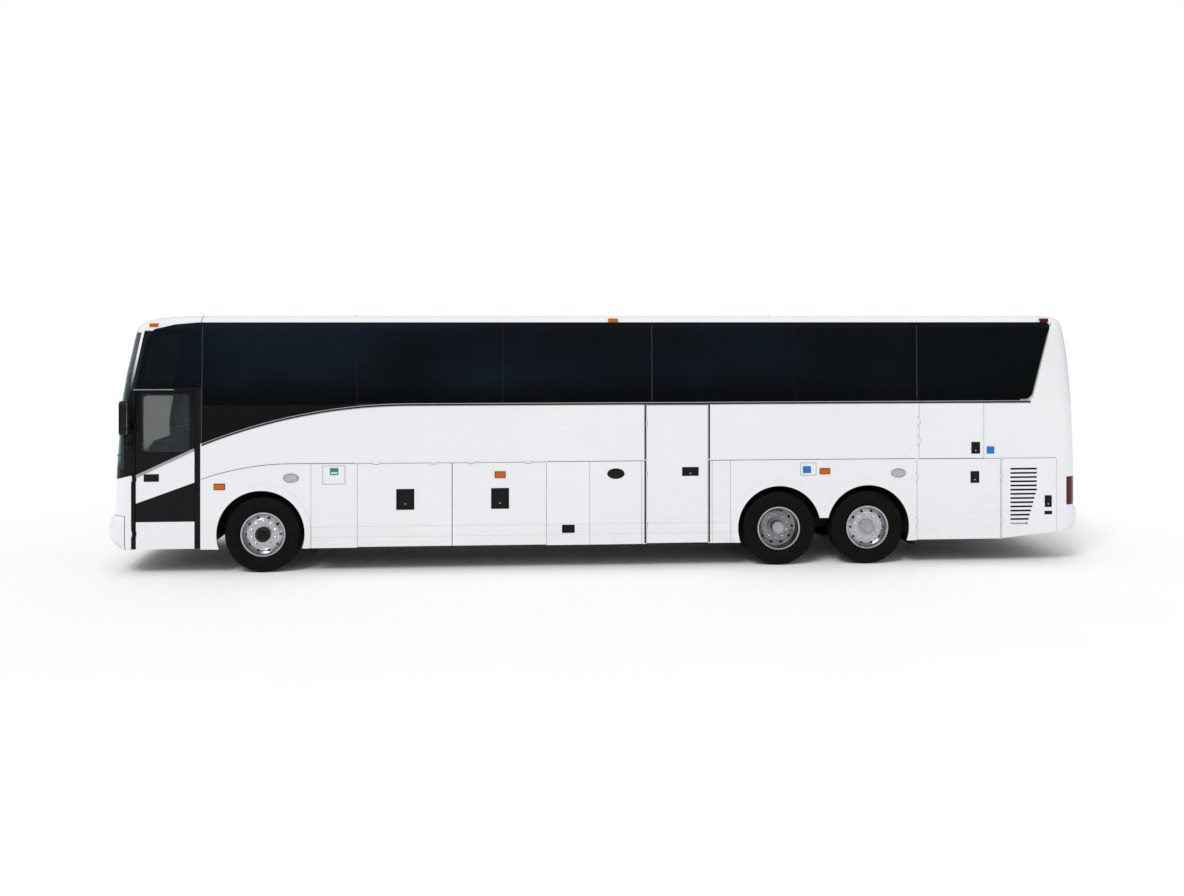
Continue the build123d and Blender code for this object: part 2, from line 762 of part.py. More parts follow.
engine_start = (rear_face, -engine_door_half + 120, engine_door_top)
engine_end = (rear_face, engine_door_half - 120, engine_door_top)
engine_spots = [200, 1320]
fixed, moving, fixed_room, moving_room = hinge_parts(engine_start, engine_end, engine_spots)
nodes["engine_door"] = engine_leaf - fixed_room + moving
nodes["rear_mask"] = rear_mask - engine_hole - moving_room + fixed
tail_lamps = [shell & shape for shape in tail_blocks]

# Lamps, mirrors and wipers that stand on the skin.
Lamp = namedtuple("Lamp", "x z wide tall proud")
marker_lamps = [
    Lamp(-5288, 1190, 135, 68, 14), Lamp(3136, 1330, 135, 68, 14),
    Lamp(-6174, 3404, 116, 50, 16), Lamp(123, 3468, 132, 56, 40)]
door_lamp = Lamp(-1456, 1322, 135, 75, 14)
dock_lamps = [Lamp(-4323, 1302, 180, 107, 16), Lamp(4198, 1297, 180, 107, 16)]
rear_markers = [Lamp(6352, 3468, 118, 56, 40)]


def skin_lamp(lamp, side, rounded):
    sketch = Ellipse(lamp.wide / 2, lamp.tall / 2) if rounded else Rectangle(lamp.wide, lamp.tall)
    edge = half_width if lamp.z < waist_height else leaned_half_width(lamp.z)
    y0, y1 = side_span(side, edge - 60, edge + 3)
    if lamp.z < waist_height:
        y0, y1 = side_span(side, edge - 60, edge + lamp.proud)
    return across(Pos(lamp.x, lamp.z) * sketch, y0, y1) - body_form(-seat_gap)


nodes["amber_lamps"] = Compound([skin_lamp(lamp, side, False) for side in sides for lamp in marker_lamps])
for side in sides:
    nodes[f"door_lamp_{side}"] = skin_lamp(door_lamp, side, False)
nodes["clear_lamps"] = Compound(headlamps + fog_lamps + [skin_lamp(lamp, side, True) for side in sides for lamp in dock_lamps])
nodes["red_lamps"] = Compound(tail_lamps + [skin_lamp(lamp, side, False) for side in sides for lamp in rear_markers])

mirror_foot = (-6500, 1262, 1775)
mirror_elbow = (-6505, 1450, 1815)
mirror_tube = 17
mirror_pad = 40
mirror_half = (50, 105, 225)
mirror_centre = (-6500, 1452, 2155)


def mirror(side):
    sign = sides[side]
    foot = Vector(mirror_foot[0], sign * mirror_foot[1], mirror_foot[2])
    elbow = Vector(mirror_elbow[0], sign * mirror_elbow[1], mirror_elbow[2])
    top = Vector(mirror_elbow[0], sign * mirror_elbow[1], mirror_centre[2] - mirror_half[2] + 10)
    arm = rod(foot, elbow, mirror_tube) + Pos(*elbow) * Sphere(mirror_tube) + rod(elbow, top, mirror_tube)
    pad = rod(foot - Vector(0, 0, 75), foot + Vector(0, 0, 75), mirror_pad)
    x, y, z = mirror_centre
    a, b, c = mirror_half
    head = fillet(Box(2 * a, 2 * b, 2 * c).edges().filter_by(Axis.X), 50)
    head = Pos(x, sign * y, z) * head
    return arm + pad + head - body_form(-seat_gap)


nodes["mirrors"] = Compound([mirror(side) for side in sides])


def wiper(sign):
    blade = [(sign * 120, 1490), (sign * 150, 1490), (sign * 1000, 1590), (sign * 1000, 1614)]
    strip = layer(-26, -glass) & along(outline(blade), -reach, -6000)
    pivot = along(Pos(sign * 135, 1400) * Circle(24), -reach, -6000) & layer(-34, -seat_gap)
    post = along(outline([(sign * 122, 1400), (sign * 148, 1400), (sign * 148, 1500), (sign * 122, 1500)]),
                 -reach, -6000) & layer(-26, -glass)
    return pivot + post + strip


nodes["wipers"] = Compound([wiper(sign) for sign in (-1, 1)])

# Floors, steps and the space under them.
inner_form = body_form(wall + seat_gap)
floor = inner_form & block(platform_rear, reach, -reach, reach, floor_top - floor_thick, floor_top)
nodes["cabin_floor"] = floor
step_edge = -525
platform = inner_form & block(-reach, platform_rear - seat_gap, -reach, reach,
                              platform_top - platform_thick, platform_top)
well = block(entry_front - 40, entry_rear + 60, -reach, step_edge, 0, high)
platform = platform - well
riser = block(platform_rear - 40, platform_rear - seat_gap, -half_width + wall + 1, half_width - wall - 1,
              platform_top, floor_top)
aisle_half = 260
middle_step = block(platform_rear - 300, platform_rear - 40, -aisle_half, aisle_half, platform_top, 1250)
front_room = across(Pos(front_arch, arch_height) * Circle(arch_radius + 92), -reach, reach)
front_room = front_room - block(-reach, reach, -545, 545, low, high)
platform = platform + [riser, middle_step] - front_room
step_front = entry_front - 40 + seat_gap
step_rear = entry_rear + 60 - seat_gap
step_points = [(-1235, 360), (-1235, 400), (-900, 400), (-900, 700), (-620, 700), (-620, platform_top),
               (step_edge - seat_gap, platform_top), (step_edge - seat_gap, platform_top - 40),
               (-590, platform_top - 40), (-590, 660), (-870, 660), (-870, 360)]
steps = along(outline(step_points), step_front, step_rear)
cheek = [(-1235, 360), (-1235, 1000), (step_edge - seat_gap, platform_top), (-590, 660), (-870, 360)]
steps = steps + along(outline(cheek), step_front, step_front + 20)
steps = steps + along(outline(cheek), step_rear - 20, step_rear)
nodes["driver_platform"] = Compound([platform, steps])

rail_outer = rail_half_gap + rail_width
bay_half = half_width - wall - 45
rail_top = rail_bottom + rail_height
frame_parts = []
for sign in (-1, 1):
    y0, y1 = sorted((sign * rail_half_gap, sign * rail_outer))
    frame_parts.append(block(-6500, bay_front + 1, y0, y1, rail_bottom, rail_top))
    frame_parts.append(block(bay_rear - 1, 6700, y0, y1, rail_bottom, rail_top))
    for x in (-5400, -4050, 1900, 3100, 4500, 5200):
        frame_parts.append(block(x - 30, x + 30, y0, y1, rail_top - 1, floor_top - floor_thick - seat_gap)
                           if x > platform_rear else
                           block(x - 30, x + 30, y0, y1, rail_top - 1, platform_top - platform_thick - seat_gap))
for x in (-6450, -5600, 1950, 3120, 4600, 6640):
    frame_parts.append(block(x - 40, x + 40, -rail_outer, rail_outer, rail_bottom + 20, rail_top - 20))
bay_floor = block(bay_front, bay_rear, -bay_half, bay_half, bay_floor_top - bay_floor_thick, bay_floor_top)
front_bulkhead = block(bay_front, bay_front + bulkhead, -bay_half, bay_half,
                       bay_floor_top - 1, floor_top - floor_thick - seat_gap)
rear_bulkhead = block(bay_rear - bulkhead, bay_rear, -bay_half, bay_half,
                      bay_floor_top - 1, floor_top - floor_thick - seat_gap)
frame_parts = frame_parts + [bay_floor, front_bulkhead, rear_bulkhead]
for x in (luggage_front - 40, luggage_split, luggage_rear + 40, 540, 1510):
    for sign in (-1, 1):
        y0, y1 = sorted((sign * (bay_half - 50), sign * bay_half))
        frame_parts.append(block(x - 25, x + 25, y0, y1, bay_floor_top - 1, floor_top - floor_thick - seat_gap))
for x in (bay_front + 100, -2120, -200, bay_rear - 100):
    frame_parts.append(block(x - 25, x + 25, -bay_half + 20, bay_half - 20,
                             bay_floor_top - bay_floor_thick - 40, bay_floor_top - bay_floor_thick + 1))
tail_beam = 6640
frame_parts.append(block(tail_beam - 30, tail_beam + 30, -1180, 1180, rail_bottom + 30, rail_top - 60))
tow_bore = 22
tow_length = 80
jack_pads = [-5900, 4850]
jack_pad_thick = 12
rail_middle = rail_half_gap + rail_width / 2
for x in jack_pads:
    for sign in (-1, 1):
        y = sign * rail_middle
        frame_parts.append(block(x - 60, x + 60, y - 40, y + 40, rail_bottom - jack_pad_thick, rail_bottom + 1))
frame_parts.append(block(tow_front, tow_front + tow_length, tow_y - 60, tow_y + 60, tow_z - 60, rail_bottom + 30))
tow_hole = rod((tow_front - 10, tow_y, tow_z), (tow_front + tow_length + 10, tow_y, tow_z), tow_bore)
silencer_front = 4640
silencer_rear = 5480
silencer_y = 700
silencer_z = 640
silencer_radius = 125
frame_parts.append(rod((silencer_front, silencer_y, silencer_z), (silencer_rear, silencer_y, silencer_z),
                       silencer_radius))
frame_parts.append(rod((silencer_rear - 5, silencer_y, silencer_z), (6560, silencer_y, silencer_z - 60), 48))
for x in (silencer_front + 120, silencer_rear - 120):
    frame_parts.append(block(x - 20, x + 20, rail_outer - 1, silencer_y, silencer_z + 100, rail_top - 20))
nodes["underframe"] = fused(frame_parts) - tow_hole

engine_front = 5150
nodes["engine"] = block(engine_front, 6450, -rail_half_gap + seat_gap, rail_half_gap - seat_gap, 600, 1380)

housing_gap = 66
rear_housing_gap = 18
housing_wall = 12
housing_inner = 562


def wheel_housing(stations_here, inner, sign, radius):
    outer_y = half_width - wall - seat_gap
    y0, y1 = sorted((sign * inner, sign * outer_y))
    outer = fused([across(Pos(x, arch_height) * Circle(radius + housing_wall), y0, y1) for x in stations_here])
    yi0, yi1 = sorted((sign * (inner + housing_wall), sign * (outer_y + 10)))
    hollow = fused([across(Pos(x, arch_height) * Circle(radius), yi0, yi1) for x in stations_here])
    if len(stations_here) > 1:
        middle = sum(stations_here) / 2
        hollow = hollow + block(middle - 200, middle + 200, yi0, yi1, low, bridge_height - 40)
    x0 = stations_here[0] - radius - 100
    x1 = stations_here[-1] + radius + 100
    bowl = (outer - hollow) & block(x0, x1, -reach, reach, arch_height - 120, high)
    passage = [block(x - 240, x + 240, -reach, reach, low, rail_bottom - 20) for x in stations_here]
    inner_plate = block(x0, x1, *sorted((sign * (inner - 10), sign * (inner + housing_wall + 10))), low, high)
    return bowl - [inner_plate & tool for tool in passage]


housings = []
for sign in (-1, 1):
    housings.append(wheel_housing([front_arch], housing_inner, sign, arch_radius + housing_gap))
    housings.append(wheel_housing([drive_wheel, tag_wheel], housing_inner, sign, arch_radius + rear_housing_gap))
nodes["wheel_housings"] = Compound(housings)

# Wheels. Each is made with its axis along Z, outboard up, and then laid on its side.
running_gap = 0.08
spindle_radius = 46
drive_spindle = 62
bead_half = 118
bead_radius = rim_radius - 6
disc_radius = 205
hand_holes = 10
hand_hole_radius = 19
hand_hole_circle = 232
drum_radius = 205
drum_inner = -108


def laid(shape, x, side, offset):
    sign = sides[side]
    return Pos(x, sign * offset, hub_height) * Rot(-90 * sign, 0, 0) * shape


def tyre():
    half = tyre_width / 2
    side_wall_points = [(bead_radius, bead_half), (rim_radius + 105, half), (tyre_radius - 30, half - 10),
                        (tyre_radius, half - 54)]
    points = side_wall_points + [(radius, -y) for radius, y in reversed(side_wall_points)]
    return revolve(Plane.XZ * outline(points), Axis.Z)


def bolt_ring(radius, count, circle, z0, z1):
    ring = []
    for number in range(count):
        turn = math.radians(360 / count * number)
        ring.append(Pos(circle * math.cos(turn), circle * math.sin(turn), (z0 + z1) / 2)
                    * Cylinder(radius, z1 - z0))
    return ring


def rim_barrel():
    seat = bead_radius - seat_gap
    flange = bead_half + 15
    half = [(seat - 14, bead_half - 6), (rim_radius - 8, flange + 4), (rim_radius + 12, flange + 6),
            (rim_radius + 12, flange), (seat, bead_half)]
    points = half + [(radius, -y) for radius, y in reversed(half)]
    return revolve(Plane.XZ * outline(points), Axis.Z)


def rim(disc_out, bore, hub_out, hub_in, dished):
    """Rim barrel with its flanges, the disc that stands disc_out outboard of the middle, and the hub."""
    seat = bead_radius - seat_gap
    whole = rim_barrel()
    edge = disc_out - 26 if not dished else disc_out + 30
    disc = [(seat - 13, edge - 12), (seat - 13, edge + 4), (disc_radius, disc_out + 2),
            (100, disc_out + 2), (100, disc_out - 14), (disc_radius, disc_out - 14)]
    plate = revolve(Plane.XZ * outline(disc), Axis.Z)
    plate = cut_all(plate, bolt_ring(hand_hole_radius, hand_holes, hand_hole_circle, disc_out - 60, disc_out + 60))
    hub = [(bore, hub_in), (105, hub_in), (105, disc_out - 14), (112, disc_out - 14), (112, disc_out + 16),
           (88, disc_out + 22), (82, hub_out), (0, hub_out), (0, hub_out - 12), (bore, hub_out - 12)]
    whole = whole + plate + revolve(Plane.XZ * outline(hub), Axis.Z)
    if not dished:
        drum = [(102, -20), (102, 10), (drum_radius, 10), (drum_radius, drum_inner), (drum_radius - 26, drum_inner),
                (drum_radius - 26, -20)]
        whole = whole + revolve(Plane.XZ * outline(drum), Axis.Z)
    return whole


front_rim = rim(96, spindle_radius + running_gap, 158, -30, False)
tyre_form = tyre()
twin_inner = wheel_track - twin_spacing
for side in sides:
    nodes[f"front_tyre_{side}"] = laid(tyre_form, front_wheel, side, wheel_track)
    nodes[f"front_rim_{side}"] = laid(front_rim, front_wheel, side, wheel_track)
    nodes[f"tag_tyre_{side}"] = laid(tyre_form, tag_wheel, side, wheel_track)
    nodes[f"tag_rim_{side}"] = laid(front_rim, tag_wheel, side, wheel_track)
drive_outer = rim(-62, drive_spindle + running_gap, 118, -90, True)


def twin_rims():
    seat = bead_radius - seat_gap
    inner = rim_barrel()
    web = [(seat - 13, 40), (seat - 13, 56), (disc_radius, 62), (104, 62), (104, 46), (disc_radius, 46)]
    inner = inner + revolve(Plane.XZ * outline(web), Axis.Z)
    return drive_outer + Pos(0, 0, -twin_spacing) * inner + revolve(Plane.XZ * outline(
        [(drive_spindle + running_gap, -330), (106, -330), (106, -80), (drive_spindle + running_gap, -80)]), Axis.Z)


twin_form = twin_rims()
for side in sides:
    outer_tyre = laid(tyre_form, drive_wheel, side, wheel_track)
    inner_tyre = laid(tyre_form, drive_wheel, side, twin_inner)
    nodes[f"drive_tyres_{side}"] = Compound([outer_tyre, inner_tyre])
    nodes[f"drive_rims_{side}"] = laid(twin_form, drive_wheel, side, wheel_track)

# Front axle: a beam with an eye at each end, and a forked knuckle on the pin in each eye.
eye_radius = 58
eye_half = 62
pin_radius = 22
pin_bore = pin_radius + running_gap
fork_gap = 1
fork_thick = 34


def knuckle(side):
    sign = sides[side]
    y = sign * king_pin
    top = hub_height + eye_half + fork_gap
    bottom = hub_height - eye_half - fork_gap
    pin = Pos(front_wheel, y, hub_height) * Cylinder(pin_radius, 2 * (eye_half + fork_gap + fork_thick))
    upper = Pos(front_wheel, y, top + fork_thick / 2) * Cylinder(eye_radius, fork_thick)
    lower = Pos(front_wheel, y, bottom - fork_thick / 2) * Cylinder(eye_radius, fork_thick)
    y0, y1 = sorted((sign * (king_pin + eye_radius + 6), sign * (king_pin + eye_radius + 46)))
    back = block(front_wheel - 60, front_wheel + 60, y0, y1, bottom - fork_thick, top + fork_thick)
    y2, y3 = sorted((y, sign * (king_pin + eye_radius + 16)))
    arms = block(front_wheel - 50, front_wheel + 50, y2, y3, top, top + fork_thick)
    arms = arms + block(front_wheel - 50, front_wheel + 50, y2, y3, bottom - fork_thick, bottom)
    spindle = rod((front_wheel, sign * (king_pin + eye_radius + 40), hub_height),
                  (front_wheel, sign * (wheel_track + 144), hub_height), spindle_radius)
    return pin + upper + lower + back + arms + spindle


def axle_eye(sign):
    y = sign * king_pin
    eye = Pos(front_wheel, y, hub_height) * Cylinder(eye_radius, 2 * eye_half)
    return eye - Pos(front_wheel, y, hub_height) * Cylinder(pin_bore, 4 * eye_half)


def air_spring(x, sign, bottom, wide):
    y = sign * (rail_half_gap + rail_width / 2)
    profile = [(0, bottom), (wide, bottom), (wide, bottom + 50), (wide - 16, bottom + 80),
               (wide, bottom + 110), (wide, rail_bottom - 30), (wide - 25, rail_bottom - seat_gap),
               (0, rail_bottom - seat_gap)]
    return Pos(x, y, 0) * revolve(Plane.XZ * outline(profile), Axis.Z)


beam_half = king_pin - eye_radius + 8
front_beam = block(front_wheel - 50, front_wheel + 50, -beam_half, beam_half, hub_height - 60, hub_height + 30)
front_beam = front_beam - block(front_wheel - 60, front_wheel - 22, 1 - beam_half + 60, beam_half - 61,
                                hub_height - 40, hub_height + 10)
front_beam = front_beam - block(front_wheel + 22, front_wheel + 60, 1 - beam_half + 60, beam_half - 61,
                                hub_height - 40, hub_height + 10)
front_beam = front_beam + axle_eye(-1) + axle_eye(1)
front_beam = front_beam + air_spring(front_wheel, -1, hub_height + 29, 92)
front_beam = front_beam + air_spring(front_wheel, 1, hub_height + 29, 92)
nodes["front_axle"] = front_beam
for side in sides:
    nodes[f"knuckle_{side}"] = knuckle(side)

hub_end = wheel_track + 104
casing_half = wheel_track - twin_spacing - 260
drive_casing = rod((drive_wheel, -hub_end, hub_height), (drive_wheel, hub_end, hub_height), drive_spindle)
drive_casing = drive_casing + rod(
    (drive_wheel, 20 - casing_half - 130, hub_height), (drive_wheel, casing_half + 110, hub_height), 82)
drive_casing = drive_casing + Pos(drive_wheel, 0, hub_height) * Sphere(205)
drive_casing = drive_casing + rod((drive_wheel, 0, hub_height), (drive_wheel + 330, 0, hub_height + 40), 90)
tag_beam = rod((tag_wheel, -wheel_track - 144, hub_height), (tag_wheel, wheel_track + 144, hub_height), spindle_radius)
tag_beam = tag_beam + rod((tag_wheel, -wheel_track + 60, hub_height), (tag_wheel, wheel_track - 60, hub_height), 66)
for sign in (-1, 1):
    for spread in (-200, 200):
        seat = block(drive_wheel + min(spread, 0) * 1.5, drive_wheel + max(spread, 0) * 1.5,
                     *sorted((sign * (rail_half_gap + 5), sign * (rail_outer - 5))), hub_height - 25, hub_height + 25)
        drive_casing = drive_casing + seat + air_spring(drive_wheel + spread, sign, hub_height + 24, 92)
    arm = block(tag_wheel - 40, tag_wheel + 40, *sorted((sign * rail_half_gap, sign * rail_outer)),
                hub_height, hub_height + 80)
    tag_beam = tag_beam + arm + air_spring(tag_wheel, sign, hub_height + 79, 92)
shaft_end = 770
shaft_radius = 40
shaft_reach = 2 * shaft_radius
shaft = rod((drive_wheel + 320, 0, hub_height + 40), (engine_front, 0, shaft_end), shaft_radius)
shaft = shaft - block(engine_front - seat_gap, engine_front + shaft_reach, -shaft_reach, shaft_reach,
                      shaft_end - shaft_reach, shaft_end + shaft_reach)
drive_casing = drive_casing + shaft
nodes["drive_axle"] = drive_casing
nodes["tag_axle"] = tag_beam
flap_front = tag_wheel + arch_radius + rear_housing_gap + housing_wall + seat_gap
flap_thick = 12
flap_low = 270
flap_high = 640
flap_points = [(flap_front, flap_low), (flap_front + flap_thick, flap_low),
               (flap_front + flap_thick, flap_high), (flap_front, flap_high)]
nodes["mud_flaps"] = Compound([
    across(outline(flap_points), *sorted((sign * 620, sign * 1180))) for sign in (-1, 1)])

# What shows through the glass.
dash_points = [(-6560, platform_top + seat_gap), (-6420, platform_top + seat_gap), (-6330, 1500),
               (-6180, 1560), (-6200, 1680), (-6420, 1740), (-6590, 1480)]
dash = across(outline(dash_points), -420, 1130)
wheel_centre = Vector(-6080, 640, 1790)
steer_hub_depth = 40
column_direction = Vector(0.62, 0, 0.785).normalized()
column_start = wheel_centre - column_direction * 330
column = rod(column_start, wheel_centre - column_direction * (steer_hub_depth + seat_gap), 34)
nodes["dashboard"] = (dash + column) & inner_form
steer_radius = 225
steer_plane = Plane(origin=wheel_centre, z_dir=column_direction)
steer_ring = steer_plane * Torus(steer_radius, 15)
steer_hub = rod(wheel_centre - column_direction * steer_hub_depth, wheel_centre + column_direction * 10, 45)
spokes = [steer_plane * Rot(0, 0, turn) * Pos(steer_radius / 2, 0, -6) * Box(steer_radius, 34, 10)
          for turn in (0, 120, 240)]
nodes["steering_wheel"] = steer_ring + steer_hub + spokes

seat_profile = [(0, 330), (10, 440), (60, 462), (430, 430), (560, 1060), (600, 1095), (650, 1080), (650, 1000),
                (530, 330), (400, 330), (400, 0), (130, 0), (130, 330)]
seat_rows = 12
seat_pitch = 840
first_row = -4980
seat_wide = 960
seat_inner = 250


def seat_block(x, y0, y1, base):
    points = [(x + px, base + seat_gap + pz) for px, pz in seat_profile]
    return across(outline(points), y0, y1)


seat_solids = []
for number in range(seat_rows):
    x = first_row + seat_pitch * number
    seat_solids.append(seat_block(x, -seat_inner - seat_wide, -seat_inner, floor_top))
    seat_solids.append(seat_block(x, seat_inner, seat_inner + seat_wide, floor_top))
driver_seat_front = -5790
seat_solids.append(seat_block(driver_seat_front, 400, 900, platform_top))
nodes["seats"] = Compound(seat_solids)

for name, shape in nodes.items():
    export_step(shape, f"parts/{name}.step")
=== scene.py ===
import bpy
import math
from mathutils import Matrix, Vector


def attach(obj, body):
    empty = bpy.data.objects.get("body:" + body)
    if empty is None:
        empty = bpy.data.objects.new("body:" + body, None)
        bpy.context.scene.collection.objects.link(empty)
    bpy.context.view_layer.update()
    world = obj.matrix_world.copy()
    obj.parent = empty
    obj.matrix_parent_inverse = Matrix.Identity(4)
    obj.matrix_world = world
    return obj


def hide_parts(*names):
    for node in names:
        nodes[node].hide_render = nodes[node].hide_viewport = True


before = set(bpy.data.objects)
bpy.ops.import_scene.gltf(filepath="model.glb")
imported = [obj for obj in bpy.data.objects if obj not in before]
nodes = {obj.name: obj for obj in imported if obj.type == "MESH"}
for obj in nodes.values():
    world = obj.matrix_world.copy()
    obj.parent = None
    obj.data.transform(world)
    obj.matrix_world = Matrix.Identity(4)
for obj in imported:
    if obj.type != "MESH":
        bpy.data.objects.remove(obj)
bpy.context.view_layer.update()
print("frame loaded,", len(nodes), "nodes")

# The coach faces -X with its entry door on -Y. All places are metres.
coach = {
    "halfWidth": 1.295,
    # above leanStart the sides lean in, and above cantStart they curve over to the roof
    "leanStart": 2.31,
    "leanPerMetre": 0.0314,
    "cantStart": 3.36,
    "axles": {"front": -4.71, "drive": 2.481, "tag": 3.76},
    "hubZ": 0.522,
}
skin = -coach["halfWidth"]
outward = (0, -1, 0)
ahead = (-1, 0, 0)


def sideY(z):
    return coach["halfWidth"] - max(0.0, z - coach["leanStart"]) * coach["leanPerMetre"]


# camera

cameraPlace = {
    "location": (-1.323, -17.8986, 3.5006),
    "turn": -0.0698,
    "sensor": 36,
    "shiftX": -0.0008,
    "clipEnd": 400,
    # the photograph's size, its focal length and the row of its horizon, in pixels
    "photo": (1184, 896),
    "focal": 1190,
    "horizon": 318.08,
}
photoWide, photoTall = cameraPlace["photo"]
bpy.ops.object.select_all(action="DESELECT")
bpy.ops.object.camera_add(location=cameraPlace["location"], rotation=(math.pi / 2, 0, cameraPlace["turn"]))
camera = bpy.context.object
camera.name = "camera"
camera.data.sensor_width = cameraPlace["sensor"]
camera.data.lens = cameraPlace["sensor"] * cameraPlace["focal"] / photoWide
camera.data.shift_x = cameraPlace["shiftX"]
camera.data.shift_y = -(photoTall / 2 - cameraPlace["horizon"]) / photoWide
camera.data.clip_end = cameraPlace["clipEnd"]
bpy.context.scene.camera = camera
bpy.context.scene.view_settings.view_transform = "Standard"
print("camera placed")


# finishes


def tone(red, green, blue):
    parts = []
    for part in (red, green, blue):
        part = part / 255
        parts.append(part / 12.92 if part <= 0.04045 else ((part + 0.055) / 1.055) ** 2.4)
    return (*parts, 1.0)


class Signal:
    # wraps one socket, so that shader maths reads as plain maths
    def __init__(self, graph, socket):
        self.graph = graph
        self.socket = socket

    def maths(self, operation, first, second=0.0):
        return self.graph.add("ShaderNodeMath", {"operation": operation}, {0: first, 1: second})

    def __add__(self, other):
        return self.maths("ADD", self, other)

    def __sub__(self, other):
        return self.maths("SUBTRACT", self, other)

    def __rsub__(self, other):
        return self.maths("SUBTRACT", other, self)

    def __mul__(self, other):
        return self.maths("MULTIPLY", self, other)

    def size(self):
        return self.maths("ABSOLUTE", self)

    def sine(self):
        return self.maths("SINE", self)

    def root(self):
        return self.maths("SQRT", self)

    def most(self, other):
        return self.maths("MAXIMUM", self, other)


class Graph:
    # adds nodes to a tree; a node's values may be numbers or signals
    def __init__(self, tree):
        self.tree = tree

    def add(self, kind, settings=None, values=None, output=0):
        node = self.tree.nodes.new(kind)
        for key, value in (settings or {}).items():
            setattr(node, key, value)
        for key, value in (values or {}).items():
            if isinstance(value, Signal):
                self.tree.links.new(value.socket, node.inputs[key])
            else:
                node.inputs[key].default_value = value
        return Signal(self, node.outputs[output])


class Finish(Graph):
    def __init__(self, name, constants):
        self.material = bpy.data.materials.new(name)
        self.material.use_nodes = True
        super().__init__(self.material.node_tree)
        self.shader = self.tree.nodes["Principled BSDF"]
        for socketName, value in constants.items():
            self.shader.inputs[socketName].default_value = value
        self.place = self.add("ShaderNodeTexCoord", output="Object")
        self.x, self.y, self.z = [self.add("ShaderNodeSeparateXYZ", {}, {0: self.place}, axis)
                                  for axis in "XYZ"]

    def noise(self, scale, detail=3.0, stretch=(1, 1, 1)):
        where = self.add("ShaderNodeMapping", {}, {"Vector": self.place, "Scale": stretch})
        return self.add("ShaderNodeTexNoise", {}, {"Vector": where, "Scale": scale, "Detail": detail})

    def over(self, signal, low, high):
        return self.add("ShaderNodeMapRange", {"interpolation_type": "SMOOTHSTEP"},
                        {"Value": signal, "From Min": low, "From Max": high})

    def blend(self, mask, first, second):
        return self.add("ShaderNodeMix", {"data_type": "RGBA"}, {0: mask, 6: first, 7: second}, 2)

    def edge(self, signal, name):
        return self.over(signal, *paintEdges[name])

    def feed(self, socketName, signal):
        self.tree.links.new(signal.socket, self.shader.inputs[socketName])

    def bump(self, height, strength, distance):
        self.feed("Normal", self.add("ShaderNodeBump", {}, {
            "Height": height, "Strength": strength, "Distance": distance}))

    def painted(self, colour, rough, coat=None, alpha=None):
        signals = {"Base Color": colour, "Roughness": rough, "Coat Weight": coat, "Alpha": alpha}
        for socketName, signal in signals.items():
            if signal is not None:
                self.feed(socketName, signal)
        return self.material


paintTones = {
    "white": tone(233, 235, 237),
    "whiteShade": tone(224, 226, 229),
    "roadDust": tone(196, 190, 180),
    "black": tone(8, 8, 9),
    "blackShade": tone(14, 15, 18),
    # tone of the painted shade along the skirt creases
    "crease": tone(120, 122, 124),
    # near black, for the painted gap shade and the black areas of the body paint
    "seal": tone(6, 6, 7),
}

# Where a colour changes. A mask goes from 0 at the first place to 1 at the second.
paintEdges = {
    "dustLow": (0.95, 0.36),
    "dustPatch": (0.4, 0.75),
    "underSkin": (1.294, 1.2918),
    "underRoof": (3.444, 3.44),
    "beforeTail": (6.52, 6.5),
    "behindNose": (-6.42, -6.4),
    "overSweep": (2.308, 2.31),
    "underSill": (2.362, 2.36),
    "alongSweep": (-2.69, -2.72),
    "doorPosts": (-5.519, -5.521),
    "overDoorBelt": (1.7845, 1.7865),
    "bumperTop": (0.797, 0.799),
    "bumperFace": (-6.0, -6.1),
    "bumperBack": (-6.56, -6.558),
    "behindBow": (6.862, 6.858),
    "intakeSide": (0.27, 0.26),
    "intakeFoot": (0.5, 0.502),
    "intakeTop": (0.652, 0.65),
    "skirtSide": (1.27, 1.28),
    "skirtRear": (1.783, 1.781),
    "skirtFront": (-4.052, -4.05),
    "creaseShadeLine": (0.006, 0.002),
    "creaseRelief": (0.007, 0.001),
    "maskTop": (2.46, 3.12),
    "maskSide": (1.19, 1.2),
    "postBack": (-6.458, -6.456),
    "postTop": (2.62, 2.6),
    "paneBack": (-6.99, -6.986),
    "paneTop": (3.34, 3.32),
    "paneFoot": (2.44, 2.46),
    "doorSkin": (-1.262, -1.266),
    "behindHinges": (-6.404, -6.402),
    "glassSill": (2.75, 2.3),
    "glassRear": (-1.5, 6.5),
    "cornerRound": (0.0175, 0.018),
    "cornerBack": (6.051, 6.053),
    "cornerFoot": (2.428, 2.424),
    "cornerSide": (1.2, 1.21),
    "shadeBand": (2.95, 3.15),
}

paintPlan = {
    "leanToTail": 3.0,
    "cantPerMetre": 0.181,
    # the swept belt moulding and the bow of the nose, as parabolas
    "sweepStart": -2.72,
    "sweepBend": 0.0657,
    "bowBend": 0.0625,
    "creases": (0.624, 0.478),
    "paneSlope": 0.2062,
    "paneCorner": (6.051, 2.46),
}


def paintBump(finish, extra=None):
    # fine orange peel of sprayed paint
    height = finish.noise(260, 2.0) * 0.06 + finish.noise(1.1, 2.0) * 0.5
    if extra is not None:
        height = height + extra
    finish.bump(height, 0.12, 0.004)


def paintWhite(finish, scale, detail=3.0):
    return finish.blend(finish.noise(scale, detail), paintTones["white"], paintTones["whiteShade"])


def paintBlack(finish):
    return finish.blend(finish.noise(2.0), paintTones["black"], paintTones["blackShade"])


def dusty(finish, colour):
    # road dust gathers low on the skirt
    low = finish.edge(finish.z, "dustLow") * finish.edge(finish.noise(3.2, 6.0, (0.5, 1, 2.2)), "dustPatch")
    return finish.blend(low * 0.14, colour, paintTones["roadDust"]), low


